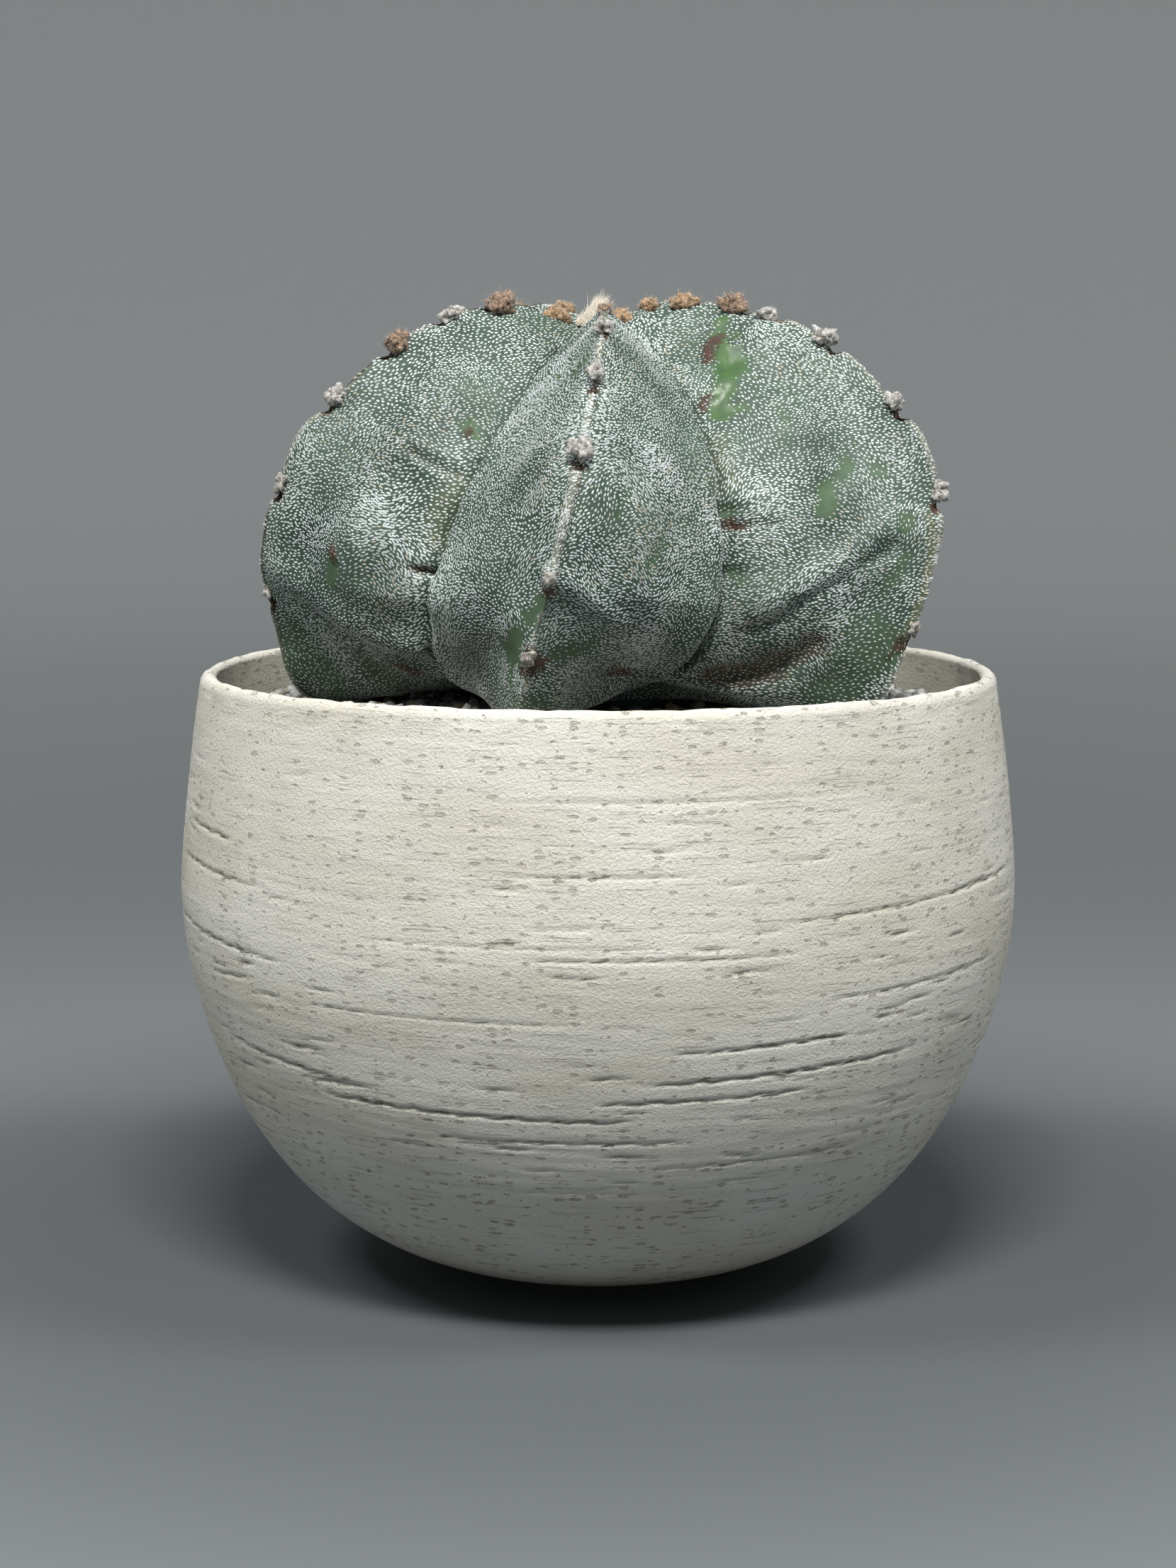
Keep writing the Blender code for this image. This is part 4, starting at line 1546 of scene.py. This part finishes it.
@dataclass
class Bowl:
    """The turned clay bowl.

    Its profile lengths are in metres. Its tears, scores, lip waves and the heights of its
    wear and smoothness tables are in millimetres.
    """

    height: float = 130.0 * MM
    belly_radius: float = 90.0 * MM
    belly_height: float = 83.7 * MM
    rim_radius: float = 85.0 * MM
    below_power: float = 1.74
    below_root: float = 2.96
    above_power: float = 1.5
    lip_wall: float = 3.2 * MM
    floor_wall: float = 6.5 * MM
    floor_top: float = 9.0 * MM
    floor_radius: float = 38.0 * MM
    foot_radius: float = 26.0 * MM
    foot_inner: float = 18.0 * MM
    foot_height: float = 2.4 * MM
    foot_recess: float = 2.0 * MM
    start: float = 3.6 * MM
    drain_radius: float = 7.0 * MM
    rounding: float = 1.5 * MM
    edge: float = 0.5 * MM
    lip_rise: float = 1.3 * MM
    lip_reach: float = 30.0 * MM
    sides: int = 264
    wall_rows: int = 310
    inner_rows: int = 30
    wear_heights: tuple = (4, 14, 30, 50, 98, 114, 130)
    wear: tuple = (0.2, 0.25, 0.6, 1, 1, 0.4, 0.25)
    smooth_heights: tuple = (4, 22, 40, 98, 114)
    smoothness: tuple = (0.55, 0.45, 0.0, 0.1, 0.55)
    inner_smoothness: float = 0.8
    lip_waves: tuple = ((9.0, 0.10), (3.0, 0.05))
    ring_depth: float = 0.05 * MM
    tears: int = 340
    tear_halves: tuple = (2.4, 3.6, 5.5, 9.0)
    tear_odds: tuple = (0.46, 0.33, 0.15, 0.06)
    tear_depths: tuple = (0.2, 0.55)
    tear_widths: tuple = (0.3, 0.5)
    score_width: float = 0.32
    score_ends: float = 0.25
    full_pit: float = 0.7
    carve_rows: int = 60
    seed: int = 61

    def outer(self, z: Array) -> Array:
        """The outer radius, a round belly under a wall that leans in.

        Args:
            z: The heights.

        Returns:
            One radius for each height.
        """
        below = np.clip((self.belly_height - z) / self.belly_height, 0, 1)
        low = self.belly_radius * (1 - below**self.below_power) ** (1 / self.below_root)
        above = np.clip((z - self.belly_height) / (self.height - self.belly_height), 0, 1)
        high = self.belly_radius - (self.belly_radius - self.rim_radius) * above**self.above_power
        return np.where(z < self.belly_height, low, high)

    def inner(self, z: Array) -> Array:
        """The inner radius at each height."""
        share = (self.height - z) / (self.height - self.floor_top)
        return self.outer(z) - self.lip_wall - (self.floor_wall - self.lip_wall) * share

    def even_steps(self, low: float, high: float, count: int, radius: object) -> Array:
        """Points on a wall at even distances along it.

        Args:
            low: The height it starts at.
            high: The height it ends at.
            count: How many points.
            radius: The method that gives its radius at each height.

        Returns:
            One row of a radius and a height for each point.
        """
        z = np.linspace(low, high, 2000)
        r = radius(z)
        run = np.concatenate([[0], np.cumsum(np.hypot(np.diff(r), np.diff(z)))])
        z = np.interp(np.linspace(0, run[-1], count), run, z)
        return np.column_stack([radius(z), z])

    def profile(self) -> Array:
        """The closed outline of the wall.

        Returns:
            Rows of a radius and a height, from the foot up outside and down inside.
        """
        top = self.height - self.rounding
        outside = self.even_steps(self.start, top, self.wall_rows, self.outer)
        turns = np.linspace(0, math.pi, 11)[1:-1]
        middle = self.rim_radius - self.lip_wall / 2
        lip = np.column_stack([middle + self.lip_wall / 2 * np.cos(turns),
                               top + self.rounding * np.sin(turns)])
        low = self.floor_top
        while self.inner(np.array(low)) < self.floor_radius:
            low += 0.5 * MM
        inside = self.even_steps(low, top, self.inner_rows, self.inner)[::-1]
        corners = [(self.drain_radius, self.floor_top), (self.drain_radius, self.foot_recess),
                   (self.foot_inner, self.foot_recess), (self.foot_inner, 0.0),
                   (self.foot_radius, 0.0), (self.foot_radius, self.foot_height)]
        ring = [inside[-1], (self.floor_radius - 1 * MM, self.floor_top), *corners, outside[0]]
        rounded = [ring[1]]
        for before, corner, after in zip(ring[1:], ring[2:-1], ring[3:]):
            back = np.subtract(before, corner) / math.dist(before, corner)
            ahead = np.subtract(after, corner) / math.dist(after, corner)
            rounded += [corner + back * self.edge, corner + (back + ahead) * self.edge * 0.29,
                        corner + ahead * self.edge]
        return np.concatenate([outside, lip, inside, rounded])

    def wall_relief(self) -> tuple[Array, Array]:
        """How deep the clay is torn and scored, for each side and row of the outer wall.

        Returns:
            The depth in millimetres, and how much each place is a pit.
        """
        wall = self.profile()[: self.wall_rows]
        draw = np.random.default_rng(self.seed)
        turn = np.arange(self.sides) * FULL_TURN / self.sides
        radius, height = wall[:, 0] / MM, wall[:, 1] / MM
        row_step = math.dist(wall[100], wall[101]) / MM
        x = radius[None] * np.sin(turn)[:, None]
        y = -radius[None] * np.cos(turn)[:, None]
        z = np.broadcast_to(height[None], x.shape)
        where = np.stack([x, y, z], axis=-1).reshape(-1, 3)
        zone = np.interp(height, self.wear_heights, self.wear)
        wavy = soft_noise(where, (40.0, 40.0, 9.0), 83)
        fine = soft_noise(where, (14.0, 14.0, 1.4), 81, 40)
        relief = (0.05 * wavy + 0.02 * fine).reshape(x.shape)
        cut = np.zeros(x.shape)
        weights = (zone + 0.05) * radius
        for _ in range(self.tears):
            row = draw.choice(self.wall_rows, p=weights / weights.sum())
            half = draw.choice(self.tear_halves, p=self.tear_odds)
            depth = draw.uniform(*self.tear_depths) * (0.55 + 0.45 * zone[row])
            self.carve(cut, radius, row_step, draw.uniform(0, self.sides), row, half,
                       draw.uniform(*self.tear_widths), depth, draw.normal() * 0.05)
        for score in SCORES:
            middle = math.radians((score.start + score.end) / 2) / FULL_TURN * self.sides
            half = math.radians(score.end - score.start) / 2
            row = int(np.abs(height - score.height).argmin())
            length = half * radius[row]
            self.carve(cut, radius, row_step, middle, row, length, self.score_width,
                       score.depth, score.climb / (2 * length), self.score_ends)
        return relief - cut, np.clip(cut / self.full_pit, 0, 1)

    def carve(self, cut: Array, radius: Array, row_step: float, column: float, row: int,
              half: float, width: float, depth: float, climb: float,
              power: float = 0.6) -> None:
        """Carve one tear or score, with a sharp upper edge and a softer lower one.

        Args:
            cut: The depth at each side and row, which is changed.
            radius: The wall's radius at each row.
            row_step: The distance between rows.
            column: The side at its middle.
            row: The row at its middle.
            half: Half its length.
            width: Half its height.
            depth: Its depth.
            climb: How far it rises for each millimetre along.
            power: How blunt its ends are.
        """
        step = FULL_TURN * radius[row] / self.sides
        reach = int(half / step) + 2
        near = (np.arange(-reach, reach + 1) + round(column)) % self.sides
        along = (np.arange(-reach, reach + 1) + round(column) - column) * step
        rows = np.arange(max(row - self.carve_rows, 0),
                         min(row + self.carve_rows, self.wall_rows))
        drift = climb * along + 0.22 * np.sin(along * 0.9 + column) * min(half, 3) / 3
        up = ((rows - row) * row_step)[None] - drift[:, None]
        ragged = 1 + 0.35 * np.sin(along * 2.3 + 1.7 * column) * np.sin(along * 0.61 + column)
        taper = np.clip(1 - (along / half)**2, 0, 1)**power * ragged
        shape = np.where(up > 0, np.exp(-(up / (0.6 * width))**2),
                         np.exp(-(up / width)**2))
        window = np.ix_(near, rows)
        cut[window] = np.maximum(cut[window], depth * taper[:, None] * shape)

    def build(self, clay: bpy.types.Material) -> None:
        """Shape a ring's rows into the torn and scored bowl.

        Args:
            clay: Its material.
        """
        profile = self.profile()
        rows = len(profile)
        deselect()
        bpy.ops.mesh.primitive_grid_add(x_subdivisions=self.sides, y_subdivisions=rows, size=2)
        bowl = bpy.context.object
        bowl.name = bowl.data.name = "clay_bowl"
        bowl.data.uv_layers[0].name = BAKE_MAP
        sheet = get_points(bowl)
        side = np.round((sheet[:, 0] + 1) / 2 * self.sides).astype(int) % self.sides
        row = np.round((sheet[:, 1] + 1) / 2 * rows).astype(int) % rows
        relief, pits = self.wall_relief()
        ahead = np.roll(profile, -1, axis=0) - np.roll(profile, 1, axis=0)
        out = unit(np.column_stack([ahead[:, 1], -ahead[:, 0]]))
        move = np.zeros((self.sides, rows))
        ends = smooth_step(0, 8, np.arange(self.wall_rows))
        ends *= smooth_step(self.wall_rows, self.wall_rows - 6, np.arange(self.wall_rows))
        move[:, : self.wall_rows] = relief * ends * MM
        turns = np.arange(self.sides) * FULL_TURN / self.sides
        on_lip = np.column_stack([np.sin(turns), np.cos(turns)]) * self.rim_radius
        lip = slice(self.wall_rows - 4, self.wall_rows + 18)
        for number, (size, rise) in enumerate(self.lip_waves):
            move[:, lip] += rise * MM * soft_noise(on_lip, size * MM, 91 + number)[:, None]
        pit = np.zeros((self.sides, rows))
        pit[:, : self.wall_rows] = pits * ends
        inner = slice(self.wall_rows + 9, self.wall_rows + 9 + self.inner_rows)
        rings = np.sin(np.arange(self.inner_rows) * 1.7) + np.sin(np.arange(self.inner_rows) * 2.9)
        move[:, inner] += self.ring_depth * rings[None]
        radius = profile[row, 0] + out[row, 0] * move[side, row]
        height = profile[row, 1] + out[row, 1] * move[side, row]
        front = np.clip(np.cos(turns[side]), 0, 1)**1.5 * self.lip_rise
        height += front * smooth_step(self.height - self.lip_reach, self.height, height)
        turn = side * FULL_TURN / self.sides
        set_points(bowl, np.column_stack([radius * np.sin(turn), -radius * np.cos(turn), height]))
        # The pit share darkens the clay's colour as painted shade in the carved tears and scores.
        set_attribute(bowl, "pit", pit[side, row])
        wall = row < self.wall_rows
        zone = np.interp(height / MM, self.smooth_heights, self.smoothness)
        set_attribute(bowl, "smooth", np.where(wall, zone, self.inner_smoothness))
        bpy.ops.object.mode_set(mode="EDIT")
        bpy.ops.mesh.select_all(action="SELECT")
        bpy.ops.mesh.remove_doubles(threshold=0.001 * MM)
        bpy.ops.object.mode_set(mode="OBJECT")
        bowl.data.shade_smooth()
        bowl.data.materials.append(clay)
        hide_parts("bowl")
        settle(bowl)


# ---------------------------------------------------------------- the fillings


@dataclass
class GravelBed:
    """Washed pebbles over the gravel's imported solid. Lengths in millimetres.

    Clearance counts in pebbles; tuck is how far behind the skin a near pebble may lie.
    """

    top: float = 122.7
    edge_top: float = 119.0
    flat_radius: float = 61.0
    outer: float = 80.4
    inner: float = 22.0
    pebble: float = 1.75
    apart: float = 2.9
    jitter: tuple = (-0.4, 1.5)
    clearance: float = 1.25
    tuck: float = 0.35
    tries: int = 24000
    shares: tuple = (0.3, 0.32, 0.24)
    seed: int = 51

    def build(self, plant: Plant, stones: Sequence[bpy.types.Material]) -> None:
        """Scatter the pebbles round the plant's foot and under its folds.

        Args:
            plant: The finished plant, which the pebbles stay clear of.
            stones: One material for each tone.
        """
        draw = np.random.default_rng(self.seed)
        radius = np.sqrt(draw.uniform(self.inner**2, self.outer**2, self.tries))
        turn = draw.uniform(0, FULL_TURN, self.tries)
        height = np.interp(radius, (self.flat_radius, self.outer), (self.top, self.edge_top))
        height += draw.uniform(*self.jitter, self.tries)
        spots = np.column_stack([radius * np.sin(turn), -radius * np.cos(turn), height]) * MM
        body = KDTree(len(plant.points))
        for number, point in enumerate(plant.points):
            body.insert(point, number)
        body.balance()
        laid = []
        grid: dict = {}
        for spot in spots:
            cell = tuple(np.floor(spot[:2] / (self.apart * MM)).astype(int))
            close = [p for dx in (-1, 0, 1) for dy in (-1, 0, 1)
                     for p in grid.get((cell[0] + dx, cell[1] + dy), ())]
            if any(math.dist(p, spot) < self.apart * MM for p in close):
                continue
            near, number, gap = body.find(spot)
            outside = (spot - np.array(near)) @ plant.normals[number]
            if gap < self.clearance * self.pebble * MM or outside < -self.tuck * gap:
                continue
            grid.setdefault(cell, []).append(spot)
            laid.append(spot)
        places = np.array(laid)
        shape, faces = round_shape(1)
        self.mix_tones(places, shape, faces, stones, draw)

    def mix_tones(self, places: Array, shape: Array, faces: Array,
                  stones: Sequence[bpy.types.Material], draw: np.random.Generator) -> None:
        """Model the pebbles of each tone as one piece.

        Args:
            places: Their middles.
            shape: A ball's vertices.
            faces: Its faces.
            stones: One material for each tone.
            draw: The random draws.
        """
        count = len(places)
        size = self.pebble * MM * draw.uniform(0.72, 1.25, (count, 1))
        turns = draw.normal(size=(count, 3, 3))
        first = unit(turns[:, 0] * [1, 1, 0.4])
        second = unit(np.cross(turns[:, 1] * 0.4 + [0, 0, 1.0], first))
        third = np.cross(first, second)
        axes = np.stack([first * size * draw.uniform(1.0, 1.3, (count, 1)),
                         second * size * draw.uniform(0.8, 1.05, (count, 1)),
                         third * size * draw.uniform(0.55, 0.85, (count, 1))], axis=1)
        points, every = copies(shape, faces, places, axes)
        points += 0.12 * MM * soft_noise(points, (1.6 * MM,) * 3, 53)[:, None] * unit(
            points - np.repeat(places, len(shape), axis=0))
        tone = np.searchsorted(np.cumsum(self.shares), draw.random(count))
        each_point = np.repeat(tone, len(shape))
        for number, stone in enumerate(stones):
            mine = np.repeat(tone == number, len(faces))
            renumber = np.cumsum(each_point == number) - 1
            mesh_piece(f"pebbles_{number + 1}", points[each_point == number],
                       renumber[every[mine]], stone)


def dress_fillings() -> None:
    """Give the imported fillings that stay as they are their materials."""
    # The net is moulded polypropylene: an even dark satin with a faint grain.
    net = TwoTone("moulded_net_plastic", 0.45, tone="#1B1C1D", other="#303133", cloud=3.0,
                  limits=(0.4, 0.8), grain=0.4, rise=0.05, details=(2.0, 1.0))
    finishes = {
        # Each grit's tones: two grain tones, then the painted shade in the gaps.
        "gravel_dressing": Grit("gravel_grit", tones=("#6E6C66", "#57544E", "#1C1A18"),
                                grain_mm=1.8),
        "soil": Grit("potting_soil", tones=("#3B2D22", "#51402F", "#140E0A")),
        "pumice_layer": Grit("pumice_grains", tones=("#C9C2B4", "#A89F8D", "#4A453C"),
                             grain_mm=4.5),
        "drain_net": net,
    }
    for node, finish in finishes.items():
        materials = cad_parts[node].data.materials
        materials.clear()
        materials.append(finish.make())


# ---------------------------------------------------------------- the studio


@dataclass(frozen=True)
class Lamp:
    """A softbox: where it hangs, its sides across and along, its watts and its colour."""

    name: str
    place: tuple
    size: tuple
    power: float
    colour: str = "#FFFFFF"


LAMPS = (
    Lamp("key_overhead", (0.0, -0.62, 0.98), (0.34, 0.18), 11.2, "#FFFDFA"),
    Lamp("fill_left", (-0.62, -0.28, 1.0), (0.3, 0.3), 4.6),
    Lamp("fill_right", (0.62, -0.28, 1.0), (0.3, 0.3), 4.6),
)


@dataclass
class Studio:
    """A pale floor that sweeps up all round, soft lights and the camera."""

    flat_radius: float = 1.15
    sweep_radius: float = 0.7
    sweep_height: float = 1.6
    sides: int = 128
    air: str = "#D3D8DA"
    air_strength: float = 0.075
    aim: tuple = (0.0, 0.0, 0.10)
    camera_distance: float = 0.744
    camera_height: float = 0.214
    camera_shift: float = -2.2 * MM
    camera_dip: float = math.radians(8.35)
    lens: float = 79.7

    def add_floor(self) -> None:
        """A round floor whose edge curves up into a plain wall."""
        deselect()
        bpy.ops.mesh.primitive_circle_add(vertices=self.sides, radius=self.flat_radius,
                                          fill_type="NGON")
        floor = bpy.context.object
        floor.name = floor.data.name = "studio_floor"
        bpy.ops.object.mode_set(mode="EDIT")
        bpy.ops.mesh.select_mode(type="EDGE")
        bpy.ops.mesh.select_all(action="SELECT")
        bpy.ops.mesh.region_to_loop()
        radius, height = self.flat_radius, 0.0
        turns = [math.pi / 2 * (k + 1) / 10 for k in range(10)]
        steps = [(self.flat_radius + self.sweep_radius * math.sin(t),
                  self.sweep_radius * (1 - math.cos(t))) for t in turns]
        for to_radius, to_height in (*steps, (steps[-1][0], self.sweep_height)):
            bpy.ops.mesh.extrude_edges_move(
                TRANSFORM_OT_translate={"value": (0, 0, to_height - height)})
            bpy.ops.transform.resize(value=(to_radius / radius, to_radius / radius, 1),
                                     center_override=(0, 0, 0))
            radius, height = to_radius, to_height
        bpy.ops.mesh.select_all(action="SELECT")
        bpy.ops.mesh.normals_make_consistent(inside=True)
        bpy.ops.object.mode_set(mode="OBJECT")
        floor.data.shade_smooth()
        floor.data.materials.append(StudioPaper().make())

    def hang(self, lamp: Lamp) -> None:
        """Add one softbox that faces the object.

        Args:
            lamp: Its place, size, power and colour.
        """
        data = bpy.data.lights.new(lamp.name, "AREA")
        data.shape = "RECTANGLE"
        data.size, data.size_y = lamp.size
        data.energy = lamp.power
        data.color = linear(lamp.colour)[:3]
        box = bpy.data.objects.new(lamp.name, data)
        bpy.context.scene.collection.objects.link(box)
        box.location = lamp.place
        way = np.subtract(self.aim, lamp.place)
        flat = math.hypot(way[0], way[1])
        box.rotation_euler = (math.atan2(flat, -way[2]), 0, math.atan2(-way[0], way[1]))

    def add_camera(self) -> None:
        """The camera, at the height and distance of the view to match."""
        data = bpy.data.cameras.new("camera")
        data.lens = self.lens
        data.sensor_width = 36.0
        camera = bpy.data.objects.new("camera", data)
        bpy.context.scene.collection.objects.link(camera)
        camera.location = (self.camera_shift, -self.camera_distance, self.camera_height)
        camera.rotation_euler = (math.pi / 2 - self.camera_dip, 0, 0)
        bpy.context.scene.camera = camera

    def add_world(self) -> None:
        """An even grey surround."""
        world = bpy.data.worlds.new("studio_air")
        world.use_nodes = True
        air = world.node_tree.nodes["Background"]
        air.inputs["Color"].default_value = linear(self.air)
        air.inputs["Strength"].default_value = self.air_strength
        bpy.context.scene.world = world

    def build(self) -> None:
        """Set up the whole studio."""
        self.add_floor()
        self.add_world()
        for lamp in LAMPS:
            self.hang(lamp)
        self.add_camera()
        bpy.context.scene.view_settings.view_transform = "Standard"


def main() -> None:
    """Build every piece in order."""
    logging.basicConfig(level=logging.INFO, format="%(message)s")
    Studio().build()
    plant = Plant()
    plant.build(WaxySkin().make())
    FleckCoat().build(plant, [FeltFleck(name, tone=tone, other=other).make()
                              for name, tone, other in FLECK_TONES])
    AreoleRow().build(
        plant,
        {mood: Felt(f"{name}_felt", tones=tones, clump_mm=clump).make()
         for mood, (name, clump, *tones) in FELT_TONES.items()},
        {mood: Wool(f"{name}_wool", tones=tones).make()
         for mood, (name, *tones) in WOOL_TONES.items()})
    TipWool().build(Wool("tip_wool", tones=("#8E7F68", "#D8CDBA", "#F0EADD")).make())
    Bowl().build(RoughClay().make())
    GravelBed().build(plant, [Stone(name, roughness, tone=tone, other=other).make()
                              for name, roughness, tone, other in STONE_TONES])
    dress_fillings()


if __name__ == "__main__":
    main()
